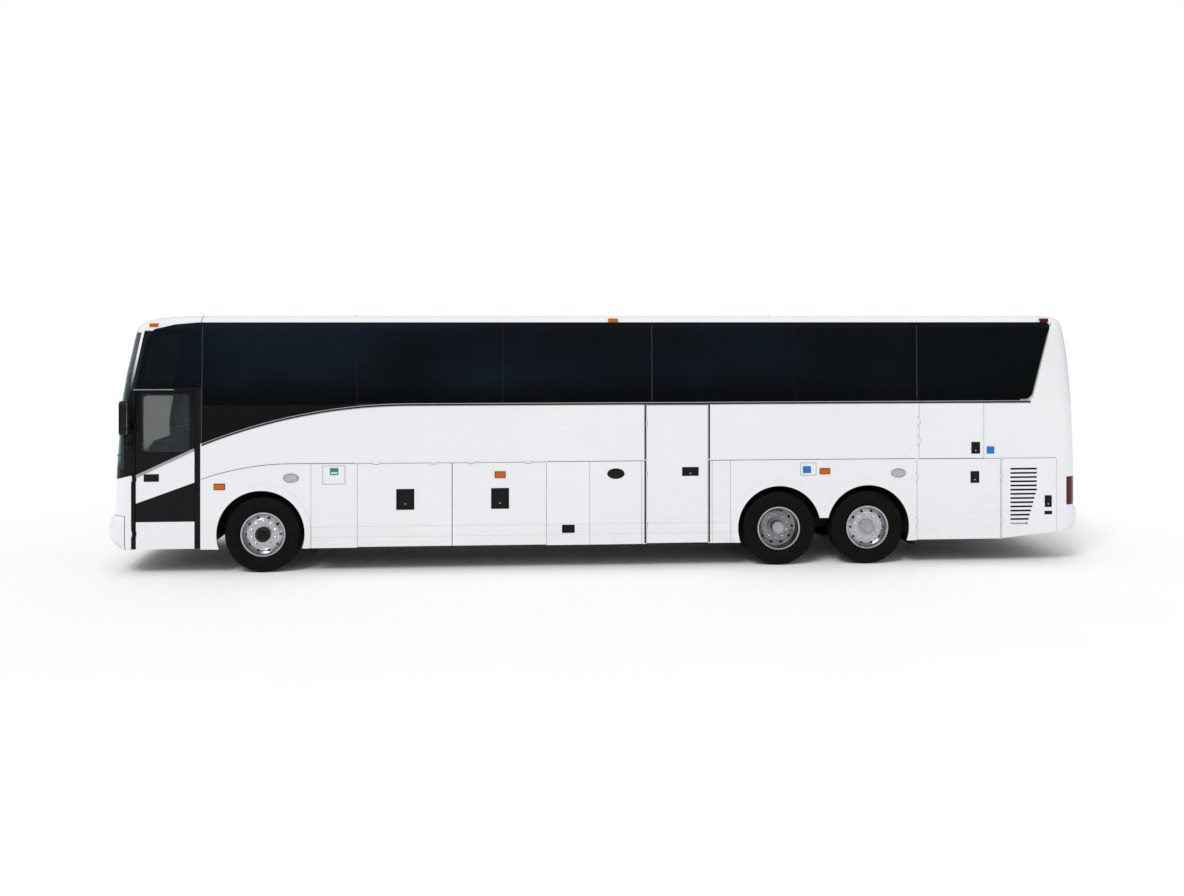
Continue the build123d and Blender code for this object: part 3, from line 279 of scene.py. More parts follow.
def sideGapShadeAndBlack(finish):
    # painted shade: below the skin, the edges and backs of the side panels are painted near black, as shade
    # in the gaps between panels
    x, z, edge = finish.x, finish.z, finish.edge
    lean = (z - coach["leanStart"]).most(0.0) * coach["leanPerMetre"]
    curve = (z - coach["cantStart"]).most(0.0) * paintPlan["cantPerMetre"]
    inward = edge(finish.y.size() + lean + curve, "underSkin") * edge(z, "underRoof")
    inward = inward * edge(x + lean * paintPlan["leanToTail"], "beforeTail") * edge(x, "behindNose")
    # the wedge between the swept moulding and the straight sill of the glass
    along = x - paintPlan["sweepStart"]
    swept = along * along * paintPlan["sweepBend"] + z
    wedge = edge(swept, "overSweep") * edge(z, "underSill") * edge(x, "alongSweep")
    # the posts round the entry door and ahead of the first pane
    posts = edge(x, "doorPosts") * edge(z, "overDoorBelt") * edge(z, "underRoof")
    return inward.most(wedge).most(posts)


def bumperBlackAreas(finish):
    # the ledge, the back and the intake of the bumper are black
    x, y, z, edge = finish.x, finish.y, finish.z, finish.edge
    face = edge(x, "bumperFace")
    ledge = edge(z, "bumperTop") * face
    back = edge(x, "bumperBack") * face
    intake = edge(x.size() + y * y * paintPlan["bowBend"], "behindBow") * edge(y.size(), "intakeSide")
    return ledge.most(back).most(intake * face * edge(z, "intakeFoot") * edge(z, "intakeTop"))


def makeBodyPaint(name, seals=None):
    finish = Finish(name, {"IOR": 1.5, "Specular IOR Level": 0.35, "Coat Roughness": 0.05})
    x, edge = finish.x, finish.edge
    colour, low = dusty(finish, paintWhite(finish, 0.55, 4.0))
    onSkirt = edge(finish.y.size(), "skirtSide") * edge(x, "skirtRear") * edge(x, "skirtFront")
    upper, lower = [(finish.z - height).size() for height in paintPlan["creases"]]
    # painted shade: thin grey lines along the two skirt creases, beside their grooves in the bump
    lines = edge(upper, "creaseShadeLine").most(edge(lower, "creaseShadeLine"))
    colour = finish.blend(lines * onSkirt * 0.22, colour, paintTones["crease"])
    # near-black mask: painted shade in the gaps below the side skin, and the black areas of the sides and
    # bumper
    dark = seals(finish) if seals else x * 0.0
    grooves = edge(upper, "creaseRelief") + edge(lower, "creaseRelief")
    paintBump(finish, grooves * onSkirt * -1.6)
    colour = finish.blend(dark, colour, paintTones["seal"])
    return finish.painted(colour, finish.noise(5.0, 4.0) * 0.08 + low * 0.25 + 0.22, dark * -0.5 + 0.6)


# Colour splits of the nose and the entry door, as lines z = base + slope * x.
splitLines = {
    "mask": (3.082, 0.267),
    "doorTrim": (4.352, 0.4738),
    "doorBand": (3.271, 0.3589),
    "doorFoot": (0.718, 0.0),
}


def overLine(finish, name, soft=0.002):
    # 1 above the line, or below it with a negative soft edge
    base, slope = splitLines[name]
    return finish.over(finish.z - finish.x * slope - base, -soft, soft)


def makeMaskPaint():
    finish = Finish("maskPaint", {"IOR": 1.5, "Specular IOR Level": 0.12, "Coat Roughness": 0.04})
    x, z, edge = finish.x, finish.z, finish.edge
    upper = overLine(finish, "mask") * (1 - edge(z, "maskTop"))
    # the post beside the door, and the strip along the front edge of the side glass
    post = edge(x, "postBack") * edge(z, "postTop")
    strip = edge(x - z * paintPlan["paneSlope"], "paneBack") * edge(z, "paneTop") * edge(z, "paneFoot")
    black = upper.most(edge(finish.y.size(), "maskSide") * post.most(strip))
    paintBump(finish)
    colour = finish.blend(black, paintWhite(finish, 0.6), paintBlack(finish))
    return finish.painted(colour, finish.noise(6.0) * 0.1 + 0.12, coat=black * -0.58 + 0.6)


def makeDoorPaint():
    finish = Finish("doorPaint", {"IOR": 1.5, "Specular IOR Level": 0.12, "Coat Roughness": 0.04})
    band = overLine(finish, "doorTrim", -0.002) * overLine(finish, "doorBand")
    pale = (band + overLine(finish, "doorFoot", -0.002)) * finish.edge(finish.y, "doorSkin")
    # the hinge knuckles ahead of the leaf are black
    pale = pale * finish.edge(finish.x, "behindHinges")
    paintBump(finish)
    colour = finish.blend(pale, paintBlack(finish), paintWhite(finish, 0.6))
    return finish.painted(colour, finish.noise(6.0) * 0.1 + 0.14, coat=pale * 0.55 + 0.03)


def makeDull(name, dark, light, rough, scale, depth, metal=0.0, stretch=(1, 1, 1)):
    # moulded, cast or coated surfaces: mottled colour, uneven sheen and a fine skin
    finish = Finish(name, {"Metallic": metal, "Specular IOR Level": 0.5 if metal else 0.18})
    mottle = finish.noise(scale, 5.0, stretch)
    finish.bump(mottle, 0.35, depth)
    sheen = finish.noise(scale * 0.4, 3.0, stretch) * 0.22 + rough
    return finish.painted(finish.blend(mottle, tone(*dark), tone(*light)), sheen)


def makeGlass(name, tint, see, rough):
    finish = Finish(name, {"IOR": 1.45, "Specular IOR Level": 0.12})
    # painted reflection: brighter cloudy patches stand in for the sky mirrored in the glass
    paintedSkyReflection = finish.over(finish.noise(0.42, 3.0, (1.0, 1.0, 1.8)), 0.42, 0.72)
    reflectedTone = (tint[0] * 1.7 + 0.001, tint[1] * 1.9 + 0.001, tint[2] * 2.1 + 0.002, 1.0)
    tintAndReflection = finish.blend(paintedSkyReflection, tint, reflectedTone)
    if name == "tintedGlass":
        # painted reflection: darker towards the sill and towards the rear, where the glass would mirror the
        # ground
        tintAndReflection = finish.blend(finish.edge(finish.z, "glassSill") * 0.9, tintAndReflection, tone(2, 3, 3))
        tintAndReflection = finish.blend(finish.edge(finish.x, "glassRear") * 0.55, tintAndReflection, tone(4, 7, 8))
        # the rear lower corner is rounded by body colour over the pane
        cornerX, cornerZ = paintPlan["paneCorner"]
        across, upward = finish.x - cornerX, finish.z - cornerZ
        corner = finish.edge(across * across + upward * upward, "cornerRound")
        corner = corner * finish.edge(finish.x, "cornerBack") * finish.edge(finish.z, "cornerFoot")
        tintAndReflection = finish.blend(corner * finish.edge(finish.y.size(), "cornerSide"), tintAndReflection, paintTones["white"])
    if name == "screenGlass":
        # the shade band along the top
        tintAndReflection = finish.blend(finish.edge(finish.z, "shadeBand"), tintAndReflection, tone(52, 40, 96))
    return finish.painted(tintAndReflection, finish.noise(1.3) * 0.03 + rough, alpha=finish.noise(0.8) * -0.05 + see)


def makeLens(name, tint, see, ribs):
    clear = name == "clearLens"
    finish = Finish(name, {"IOR": 1.49, "Coat Weight": 1.0 if clear else 0.1, "Coat Roughness": 0.03,
                           "Specular IOR Level": 0.5 if clear else 0.15})
    flutes = (finish.x * ribs).sine() * (finish.z * ribs).sine() + (finish.y * ribs).sine()
    deep = (tint[0] * 0.6, tint[1] * 0.5, tint[2] * 0.5, 1.0)
    finish.bump(flutes, 0.5, 0.002)
    colour = finish.blend(flutes * 0.25 + 0.5, tint, deep)
    return finish.painted(colour, finish.noise(9.0) * 0.06 + 0.08, alpha=flutes * 0.05 + see)


def aroundHub(finish, kind):
    # angle about the axle, and distance from it
    across = finish.x - coach["axles"][kind]
    upward = finish.z - coach["hubZ"]
    return across.maths("ARCTAN2", upward, across), (across * across + upward * upward).root()


def makeAlloy(kind, tint):
    finish = Finish(f"{kind}Alloy", {"Metallic": 1.0})
    turn, away = aroundHub(finish, kind)
    circling = finish.add("ShaderNodeCombineXYZ", {}, {0: away * 240, 1: turn * 3})
    brushed = finish.add("ShaderNodeTexNoise", {}, {"Vector": circling, "Scale": 1.0, "Detail": 3.0})
    grime = finish.over(finish.noise(11.0, 6.0), 0.52, 0.78) * 0.35
    # painted shade: darker deeper in the dish, towards the hub
    deep = finish.over(finish.y.size(), 1.205, 1.06) * 0.55
    colour = finish.blend(grime, tint, tone(120, 116, 110))
    finish.bump(brushed, 0.15, 0.0006)
    return finish.painted(finish.blend(deep, colour, tone(44, 43, 42)), brushed * 0.14 + grime * 0.3 + 0.14)


def makeTyreRubber(kind, blocks):
    finish = Finish(f"{kind}TyreRubber", {"IOR": 1.45, "Specular IOR Level": 0.12})
    turn, away = aroundHub(finish, kind)
    onTread = finish.over(away, 0.5, 0.506)
    sipes = finish.over((turn * blocks + finish.y * 18).sine(), 0.86, 0.97) * onTread
    shoulder = (turn * 160).sine() * finish.over(away, 0.47, 0.476) * finish.over(away, 0.498, 0.492)
    rings = finish.over((away * 420).sine(), 0.2, 0.9) * finish.over(away, 0.42, 0.414) * 0.5
    dust = finish.over(finish.noise(7.0, 6.0), 0.35, 0.75)
    finish.bump(rings + shoulder * 0.4 - sipes * 3.0 + finish.noise(130, 2.0) * 0.3, 0.5, 0.003)
    colour = finish.blend(dust * 0.5 + onTread * 0.25, tone(5, 5, 5), tone(26, 24, 22))
    return finish.painted(colour, dust * 0.2 + 0.62)


def makeWeave(name, first, second, accent):
    # woven moquette with a plain generic fleck
    finish = Finish(name, {"Sheen Weight": 0.35})
    threads = ((finish.x + finish.z) * 2600).sine() * (finish.y * 2600).sine()
    fleck = finish.over(finish.noise(42, 2.0), 0.6, 0.66)
    ground = finish.blend(threads * 0.4 + 0.5, first, second)
    finish.bump(threads * 0.5 + finish.noise(14) * 0.5, 0.4, 0.0012)
    return finish.painted(finish.blend(fleck * 0.7, ground, accent), finish.noise(20) * 0.1 + 0.82)


# name, dark and light tone, roughness, mottle size and relief, then metal and stretch if any
dullFinishes = {
    "chassis": ("chassisPaint", (20, 20, 21), (58, 55, 50), 0.55, 9, 0.002),
    "iron": ("axleIron", (36, 34, 33), (74, 66, 58), 0.55, 24, 0.002, 0.4),
    "plastic": ("blackPlastic", (7, 7, 8), (20, 20, 21), 0.42, 160, 0.0006),
    "rubber": ("sealRubber", (6, 6, 6), (20, 20, 20), 0.68, 60, 0.0008),
    "trim": ("greyTrim", (142, 144, 149), (170, 172, 176), 0.26, 30, 0.0004, 0.2, (0.1, 1, 1)),
    "seal": ("blackSeal", (3, 3, 3), (10, 10, 10), 0.72, 60, 0.0006),
    "leafTrim": ("leafTrim", (132, 142, 118), (164, 172, 148), 0.3, 30, 0.0003, 0.3),
    "dimTrim": ("dimTrim", (52, 56, 60), (76, 80, 84), 0.4, 30, 0.0003),
    "chrome": ("brightTrim", (205, 207, 210), (228, 229, 231), 0.06, 22, 0.0003, 1.0),
    "floor": ("floorVinyl", (44, 46, 50), (74, 76, 80), 0.55, 90, 0.001),
    "dash": ("dashPlastic", (26, 27, 29), (44, 45, 48), 0.52, 220, 0.0007),
    "engine": ("enginePaint", (72, 74, 76), (104, 104, 102), 0.5, 14, 0.002, 0.3),
    "hide": ("seatHide", (46, 47, 50), (64, 65, 69), 0.48, 120, 0.0012),
    "greenLabel": ("greenLabel", (18, 128, 92), (40, 150, 112), 0.4, 30, 0.0002),
    "blueLabel": ("blueLabel", (24, 104, 178), (44, 124, 196), 0.4, 30, 0.0002),
    "plate": ("blankPlate", (206, 208, 206), (222, 223, 220), 0.4, 40, 0.0004),
    "mirror": ("mirrorFace", (196, 202, 206), (212, 216, 220), 0.02, 4, 0.0002, 1.0),
    "lampInner": ("lampInner", (170, 174, 178), (196, 198, 202), 0.12, 18, 0.0004, 1.0),
}
# tone of the alloy, and sipes round the tread
wheelFinishes = {
    "front": ((176, 178, 182), 72),
    "drive": ((170, 172, 175), 60),
    "tag": ((176, 178, 182), 72),
}

finishes = {name: makeDull(*row) for name, row in dullFinishes.items()}
for kind, (alloyTone, sipeCount) in wheelFinishes.items():
    finishes[f"{kind}Alloy"] = makeAlloy(kind, tone(*alloyTone))
    finishes[f"{kind}Tyre"] = makeTyreRubber(kind, sipeCount)
finishes.update({
    "body": makeBodyPaint("bodyPaint"),
    "side": makeBodyPaint("sidePaint", sideGapShadeAndBlack),
    "bumper": makeBodyPaint("bumperPaint", bumperBlackAreas),
    "mask": makeMaskPaint(),
    "door": makeDoorPaint(),
    "glass": makeGlass("tintedGlass", tone(8, 14, 20), 0.95, 0.03),
    "screen": makeGlass("screenGlass", tone(40, 66, 70), 0.46, 0.02),
    "doorGlass": makeGlass("doorGlass", tone(52, 60, 60), 0.42, 0.02),
    "clearLens": makeLens("clearLens", tone(224, 228, 232), 0.3, 900),
    "amberLens": makeLens("amberLens", tone(216, 106, 8), 0.98, 520),
    "redLens": makeLens("redLens", tone(96, 2, 10), 1.0, 420),
    "fabric": makeWeave("seatMoquette", tone(38, 46, 66), tone(52, 62, 86), tone(112, 118, 130)),
})

# names with {} stand for the left and the right node
nodeFinishes = {
    "body": ["roof", "roof_hatch_front", "roof_hatch_rear", "rear_mask", "rear_bumper", "engine_door"],
    "bumper": ["front_bumper"],
    "side": ["side_wall_{}", "luggage_door_{}_1", "luggage_door_{}_2", "louvre_door_{}", "lift_door",
             "service_door_left", "hatch_door_left"],
    "mask": ["front_mask"],
    "door": ["entry_door"],
    "chassis": ["underframe", "wheel_housings"],
    "iron": ["front_axle", "drive_axle", "tag_axle", "knuckle_{}"],
    "glass": ["side_windows_{}", "rear_window"],
    "screen": ["windscreen"],
    "doorGlass": ["entry_door_glass"],
    "clearLens": ["clear_lamps"],
    "amberLens": ["amber_lamps", "door_lamp_{}"],
    "redLens": ["red_lamps"],
    "plastic": ["mirrors", "wipers"],
    "rubber": ["entry_door_seals", "mud_flaps"],
    "floor": ["cabin_floor", "driver_platform"],
    "dash": ["dashboard", "steering_wheel"],
    "engine": ["engine"],
    "fabric": ["seats"],
    "frontAlloy": ["front_rim_{}"],
    "driveAlloy": ["drive_rims_{}"],
    "tagAlloy": ["tag_rim_{}"],
    "frontTyre": ["front_tyre_{}"],
    "driveTyre": ["drive_tyres_{}"],
    "tagTyre": ["tag_tyre_{}"],
}
for finishName, nodeNames in nodeFinishes.items():
    for nodeName in nodeNames:
        for side in ("left", "right"):
            materials = nodes[nodeName.format(side)].data.materials
            materials.clear()
            materials.append(finishes[finishName])
print("finishes made")


# floor, world and lights

stage = {
    "floorSize": 240,
    "floorCells": 8,
    "sunStrength": 1.32,
    "sunTurn": (38, -14, -14),
    "sunSpread": 22,
    "skyLevel": 0.74,
    "horizonLevel": 0.34,
    "horizonRise": (0.02, 0.3),
}


def makeWorld():
    world = bpy.data.worlds.new("softSky")
    bpy.context.scene.world = world
    world.use_nodes = True
    graph = Graph(world.node_tree)
    back = graph.tree.nodes["Background"]
    back.inputs["Color"].default_value = (1, 1, 1, 1)
    # the camera sees plain white, also through glass
    seen, through = [graph.add("ShaderNodeLightPath", output=ray)
                     for ray in ("Is Camera Ray", "Is Transmission Ray")]
    # a darker horizon gives the bright metal something to mirror
    place = graph.add("ShaderNodeTexCoord", output="Generated")
    height = graph.add("ShaderNodeSeparateXYZ", {}, {0: place}, "Z")
    low, high = stage["horizonRise"]
    rise = graph.add("ShaderNodeMapRange", {}, {
        "Value": height, "From Min": low, "From Max": high,
        "To Min": stage["horizonLevel"], "To Max": stage["skyLevel"]})
    level = graph.add("ShaderNodeMapRange", {}, {
        "Value": seen.most(through), "To Min": rise, "To Max": 1.0})
    graph.tree.links.new(level.socket, back.inputs["Strength"])


def makeStage():
    startFresh()
    cells = stage["floorCells"]
    bpy.ops.mesh.primitive_grid_add(x_subdivisions=cells, y_subdivisions=cells, size=stage["floorSize"])
    floor = bpy.context.object
    floor.name = "floor"
    finish = Finish("floorFinish", {"Roughness": 0.9})
    finish.feed("Base Color", finish.blend(finish.noise(0.6), tone(252, 252, 252), tone(254, 254, 254)))
    floor.data.materials.append(finish.material)
    makeWorld()
    bpy.ops.object.light_add(type="SUN", rotation=[math.radians(angle) for angle in stage["sunTurn"]])
    sun = bpy.context.object
    sun.name = "daylight"
    sun.data.energy = stage["sunStrength"]
    sun.data.angle = math.radians(stage["sunSpread"])


# modelling helpers


def startFresh():
    if bpy.context.mode != "OBJECT":
        bpy.ops.object.mode_set(mode="OBJECT")
    bpy.ops.object.select_all(action="DESELECT")


def pick(*pieces):
    startFresh()
    for piece in pieces:
        piece.select_set(True)
    bpy.context.view_layer.objects.active = pieces[0]


def openMesh(kind=None, action="SELECT"):
    # edit mode with all selected, or nothing
    bpy.ops.object.mode_set(mode="EDIT")
    if kind:
        bpy.ops.mesh.select_mode(type=kind)
    bpy.ops.mesh.select_all(action=action)


def closeMesh(facing=False):
    if facing:
        bpy.ops.mesh.select_all(action="SELECT")
        bpy.ops.mesh.normals_make_consistent(inside=False)
    bpy.ops.object.mode_set(mode="OBJECT")


def modified(piece, kind, **settings):
    pick(piece)
    modifier = piece.modifiers.new("step", kind)
    for key, value in settings.items():
        setattr(modifier, key, value)
    bpy.ops.object.modifier_apply(modifier="step")
    return piece


def settle(piece, name, finish, body="coach", smooth=32):
    pick(piece)
    bpy.ops.object.transform_apply()
    bpy.ops.object.shade_smooth_by_angle(angle=math.radians(smooth))
    piece.name = name
    piece.data.name = name
    piece.data.materials.clear()
    piece.data.materials.append(finishes[finish])
    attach(piece, body)


def softBlock(low, high, edge, segments=2):
    # a block with rounded edges between two corners
    startFresh()
    low, high = Vector(low), Vector(high)
    bpy.ops.mesh.primitive_cube_add(size=1, location=(low + high) / 2, scale=high - low)
    bpy.ops.object.transform_apply()
    openMesh()
    bpy.ops.mesh.bevel(offset=edge, segments=segments, affect="EDGES")
    closeMesh()
    return bpy.context.object


def facesOut(middle, normal):
    return normal.y < -0.9


def facesBack(middle, normal):
    return normal.x > 0.9


def chosenFaces(piece, test):
    # selects the faces whose middle and normal pass the test, and stays in edit mode
    pick(piece)
    openMesh("FACE", "DESELECT")
    closeMesh()
    for face in piece.data.polygons:
        face.select = test(face.center, face.normal)
    bpy.ops.object.mode_set(mode="EDIT")


def insetFace(piece, rim, depth, test=facesOut):
    # a panel let into (or raised from) the chosen faces
    chosenFaces(piece, test)
    bpy.ops.mesh.inset(thickness=rim, depth=0)
    bpy.ops.mesh.inset(thickness=abs(depth) * 0.4, depth=depth)
    closeMesh()


def turned(profile, centre, axis, steps):
    # profile of (radius, along) pairs, spun about the axis through the centre
    axis = Vector(axis)
    side = Vector((0, 0, 1)) if abs(axis.z) < 0.5 else Vector((1, 0, 0))
    spots = [Vector(centre) + side * radius + axis * along for radius, along in profile]
    startFresh()
    bpy.ops.mesh.primitive_plane_add(size=0.01)
    openMesh("VERT")
    bpy.ops.mesh.merge(type="CENTER")
    bpy.ops.transform.translate(value=spots[0])
    for first, second in zip(spots, spots[1:]):
        bpy.ops.mesh.extrude_region_move(TRANSFORM_OT_translate={"value": second - first})
    bpy.ops.mesh.select_all(action="SELECT")
    bpy.ops.mesh.spin(steps=steps, angle=math.tau, center=centre, axis=axis)
    bpy.ops.mesh.select_all(action="SELECT")
    bpy.ops.mesh.remove_doubles(threshold=0.00002)
    closeMesh(facing=True)
    return bpy.context.object


def bar(spots, width, height):
    # a strip with an upright end face, drawn out from spot to spot; width is along Y, height along Z
    startFresh()
    bpy.ops.mesh.primitive_plane_add(size=1, location=spots[0], rotation=(0, math.pi / 2, 0))
    piece = bpy.context.object
    piece.scale = (height, width, 1)
    bpy.ops.object.transform_apply()
    openMesh("FACE")
    for first, second in zip(spots, spots[1:]):
        bpy.ops.mesh.extrude_region_move(TRANSFORM_OT_translate={"value": Vector(second) - Vector(first)})
    closeMesh(facing=True)
    return piece


def tube(spots, radius):
    # a round bar through the spots
    startFresh()
    bpy.ops.curve.primitive_nurbs_path_add()
    line = bpy.context.object
    line.data.splines.clear()
    spline = line.data.splines.new("POLY")
    spline.points.add(len(spots) - 1)
    for point, spot in zip(spline.points, spots):
        point.co = (*spot, 1)
    line.data.bevel_depth = radius
    line.data.bevel_resolution = 3
    line.data.use_fill_caps = True
    line.data.dimensions = "3D"
    bpy.ops.object.convert(target="MESH")
    return bpy.context.object


def joined(pieces):
    pick(*pieces)
    if len(pieces) > 1:
        bpy.ops.object.join()
    return bpy.context.object


def copied(piece, matrix):
    twin = piece.copy()
    twin.data = piece.data.copy()
    bpy.context.scene.collection.objects.link(twin)
    twin.data.transform(matrix)
    if matrix.determinant() < 0:
        twin.data.flip_normals()
    return twin


def mirrored(piece):
    return copied(piece, Matrix.Scale(-1, 4, (0, 1, 0)))


def fit(piece, name, finish, body="coach", both=True, smooth=32):
    # settles a piece of the left side, and its mirror image on the right
    twin = mirrored(piece) if both else None
    settle(piece, f"{name}.left", finish, body.format("left"), smooth)
    if twin:
        settle(twin, f"{name}.right", finish, body.format("right"), smooth)


def stretched(piece, factors, centre):
    pick(piece)
    openMesh()
    bpy.ops.transform.resize(value=factors, center_override=centre)
    closeMesh()


def plateOn(x0, x1, z0, z1, out, deep, edge, segments=2):
    # a block that stands out of the left skin by one measure and is let into it by the other
    return softBlock((x0, skin - out, z0), (x1, skin + deep, z1), edge, segments)


makeStage()
print("stage made")


# tyres and wheel details

wheels = {
    "track": 1.115,
    "twinInner": 0.77,
    "treadSteps": 120,
    "nutCircle": 0.1675,
    "nutCount": 10,
    "boltCircle": 0.0725,
    "boltCount": 8,
    # node and body of each kind's tyre
    "tyres": {"front": ("front_tyre", "front_wheel"), "drive": ("drive_tyres", "drive_wheels"),
              "tag": ("tag_tyre", "tag_wheel")},
    # plane of the disc, hub end and finish of the cap
    "hubs": {"front": (1.2125, 1.273, "plastic"), "drive": (1.0545, 1.233, "trim"),
             "tag": (1.2125, 1.273, "trim")},
    # radius and distance from the tyre's middle, outer half only
    "tyreHalf": [(0.2868, 0.108), (0.287, 0.1175), (0.303, 0.1235), (0.309, 0.129), (0.33, 0.1395),
                 (0.352, 0.147), (0.356, 0.1495), (0.362, 0.148), (0.39, 0.1545), (0.418, 0.1555),
                 (0.424, 0.1558), (0.428, 0.1545), (0.455, 0.1535), (0.478, 0.15), (0.484, 0.1495),
                 (0.488, 0.1465), (0.505, 0.14), (0.5145, 0.129), (0.5175, 0.118), (0.519, 0.096),
                 (0.506, 0.093), (0.506, 0.084), (0.52, 0.081), (0.521, 0.044), (0.507, 0.041),
                 (0.507, 0.032), (0.5212, 0.029), (0.5218, 0.008), (0.509, 0.005)],
    # radius and distance outboard
    "nut": [(0.0, 0.041), (0.007, 0.0405), (0.0115, 0.038), (0.0145, 0.033), (0.0155, 0.026),
            (0.0165, 0.0255), (0.0165, 0.009), (0.0215, 0.006), (0.0225, 0.0), (0.0, 0.0)],
    "ring": [(0.203, 0.0), (0.205, 0.006), (0.211, 0.009), (0.217, 0.006), (0.219, 0.0)],
    "cap": [(0.0835, -0.03), (0.084, -0.004), (0.08, 0.0015), (0.066, 0.003), (0.063, 0.0085),
            (0.052, 0.0105), (0.046, 0.007), (0.02, 0.008), (0.0, 0.0085)],
    "cover": [(0.104, -0.052), (0.1045, -0.006), (0.1015, -0.001), (0.093, 0.0018), (0.085, 0.0005),
              (0.084, -0.01)],
    "bolt": [(0.0, 0.0065), (0.0042, 0.006), (0.0058, 0.003), (0.0058, 0.0)],
}


def placeTyres():
    half = wheels["tyreHalf"]
    profile = half + [(radius, -along) for radius, along in reversed(half)]
    for kind, (node, body) in wheels["tyres"].items():
        centre = (coach["axles"][kind], -wheels["track"], coach["hubZ"])
        outer = turned(profile, centre, (0, 1, 0), wheels["treadSteps"])
        if kind == "drive":
            inner = copied(outer, Matrix.Translation((0, wheels["track"] - wheels["twinInner"], 0)))
            outer = joined([outer, inner])
        twin = mirrored(outer)
        for piece, side in ((outer, "left"), (twin, "right")):
            settle(piece, f"{kind}Tread.{side}", f"{kind}Tyre", f"{body}_{side}", 28)
            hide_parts(f"{node}_{side}")


def makeNuts(x, y, z):
    first = turned(wheels["nut"], (x, y, z + wheels["nutCircle"]), outward, 12)
    nuts = [first]
    for number in range(1, wheels["nutCount"]):
        turn = Matrix.Rotation(math.tau * number / wheels["nutCount"], 4, "Y")
        nuts.append(copied(first, Matrix.Translation((x, 0, z)) @ turn @ Matrix.Translation((-x, 0, -z))))
    return joined(nuts)


def makeCap(x, y, z, covered):
    parts = [turned(wheels["cap"], (x, y, z), outward, 40)]
    if covered:
        parts.append(turned(wheels["cover"], (x, y, z), outward, 48))
    away = wheels["boltCircle"]
    for number in range(wheels["boltCount"]):
        turn = math.tau * number / wheels["boltCount"]
        place = (x + away * math.sin(turn), y - 0.002, z + away * math.cos(turn))
        parts.append(turned(wheels["bolt"], place, outward, 6))
    return joined(parts)


def placeWheelDetails():
    for kind, (discY, hubY, capFinish) in wheels["hubs"].items():
        x, z = coach["axles"][kind], coach["hubZ"]
        body = wheels["tyres"][kind][1] + "_{}"
        nuts = makeNuts(x, -discY, z)
        ring = turned(wheels["ring"], (x, -discY, z), outward, 60)
        cap = makeCap(x, -hubY, z, kind != "drive")
        fit(nuts, f"{kind}Nuts", "chrome", body)
        fit(ring, f"{kind}DiscRing", "chrome", body)
        fit(cap, f"{kind}HubCap", capFinish, body)


placeTyres()
placeWheelDetails()
print("wheels made")

# side trims

sideTrims = {
    "beltHeight": 0.036,
    "beltProud": 0.009,
    "beltFrom": -5.528,
    "beltTo": 6.135,
    "beltTop": 2.32,
    "beadHeight": 0.007,
    # start, end and fall of the two swept ends
    "beltSweep": (-2.72, -5.53, 0.538),
    "creaseSweep": (-4.328, -5.53, 0.201),
    "creaseLine": 1.4985,
    "creaseSize": (0.0045, 0.0065),
    "creaseFrontEnd": -3.442,
    "creases": [(-0.8, 0.566), (1.486, 4.45)],
    # x0, x1, z0 of the rubber seal round the lift door, and how deep it sits
    "liftSeals": [(0.562, 0.584, 0.345, 0.002), (1.468, 1.49, 0.345, 0.002), (0.562, 1.49, 2.2785, 0.003)],
    "liftSealTop": 2.2895,
    # x, z along the slanted rear edge of the side glass
    "rearPane": [(6.452, 3.428), (6.385, 3.19), (6.3, 2.88), (6.176, 2.426), (6.158, 2.386), (6.13, 2.356),
                 (6.095, 2.336), (6.051, 2.329), (5.98, 2.329)],
    "paneCant": 0.18,
    "capX": -5.54,
    # y, z over the roof seam of the front cap
    "capSeam": [(-1.2605, 3.446), (-1.245, 3.4495), (-1.205, 3.4925), (-1.15, 3.5195), (-1.08, 3.5305)],
    # x and foot of the thin posts on the glass
    "posts": [(-5.523, 1.82), (0.669, 2.345), (4.471, 2.345)],
    "postTop": 3.395,
    "postSize": (0.007, 0.0008),
}


def sweepZ(x, sweep, level):
    # height of a strip that is level behind its start and falls in an arc ahead of it
    start, end, drop = sweep
    if x >= start:
        return level
    run = start - end
    radius = (run ** 2 + drop ** 2) / (2 * drop)
    return level - radius + math.sqrt(radius ** 2 - (start - x) ** 2)


def stationsAlong(first, last, count):
    return [first + (last - first) * number / count for number in range(count + 1)]


def sideStrip(name, spots, width, height, finish, edge=0.0025, body="coach", slot="body_paint", both=True):
    # spots are (x, z) of the strip's middle; it stands on the skin of the left side
    route = [(x, -sideY(z) - width / 2 + 0.004, z) for x, z in spots]
    strip = modified(bar(route, width + 0.004, height), "BEVEL", width=edge, segments=2,
                     limit_method="ANGLE", angle_limit=math.radians(40))
    fit(strip, name, finish, body, both)


def placeBelt():
    cut = sideTrims
    belt = []
    for x in stationsAlong(cut["beltFrom"], cut["beltSweep"][0], 14) + [0.0, 3.0, cut["beltTo"]]:
        belt.append((x, sweepZ(x, cut["beltSweep"], cut["beltTop"]) - cut["beltHeight"] / 2))
    sideStrip("beltMoulding", belt, cut["beltProud"], cut["beltHeight"], "trim")
    fine = [(x, z + cut["beltHeight"] / 2 - 0.004) for x, z in belt]
    sideStrip("beltBead", fine, cut["beltProud"] + 0.003, cut["beadHeight"], "chrome", 0.001)


def leaningPost(x, z0, z1, name, finish):
    # a thin upright strip on the leaning glass
    width, out = sideTrims["postSize"]
    post = plateOn(x - width / 2, x + width / 2, z0, z1, out, 0.006, 0.0008, 1)
    lean = math.atan(coach["leanPerMetre"])
    start = Matrix.Translation((0, skin, coach["leanStart"]))
    post.data.transform(start @ Matrix.Rotation(-lean, 4, "X") @ start.inverted())
    fit(post, name, finish)


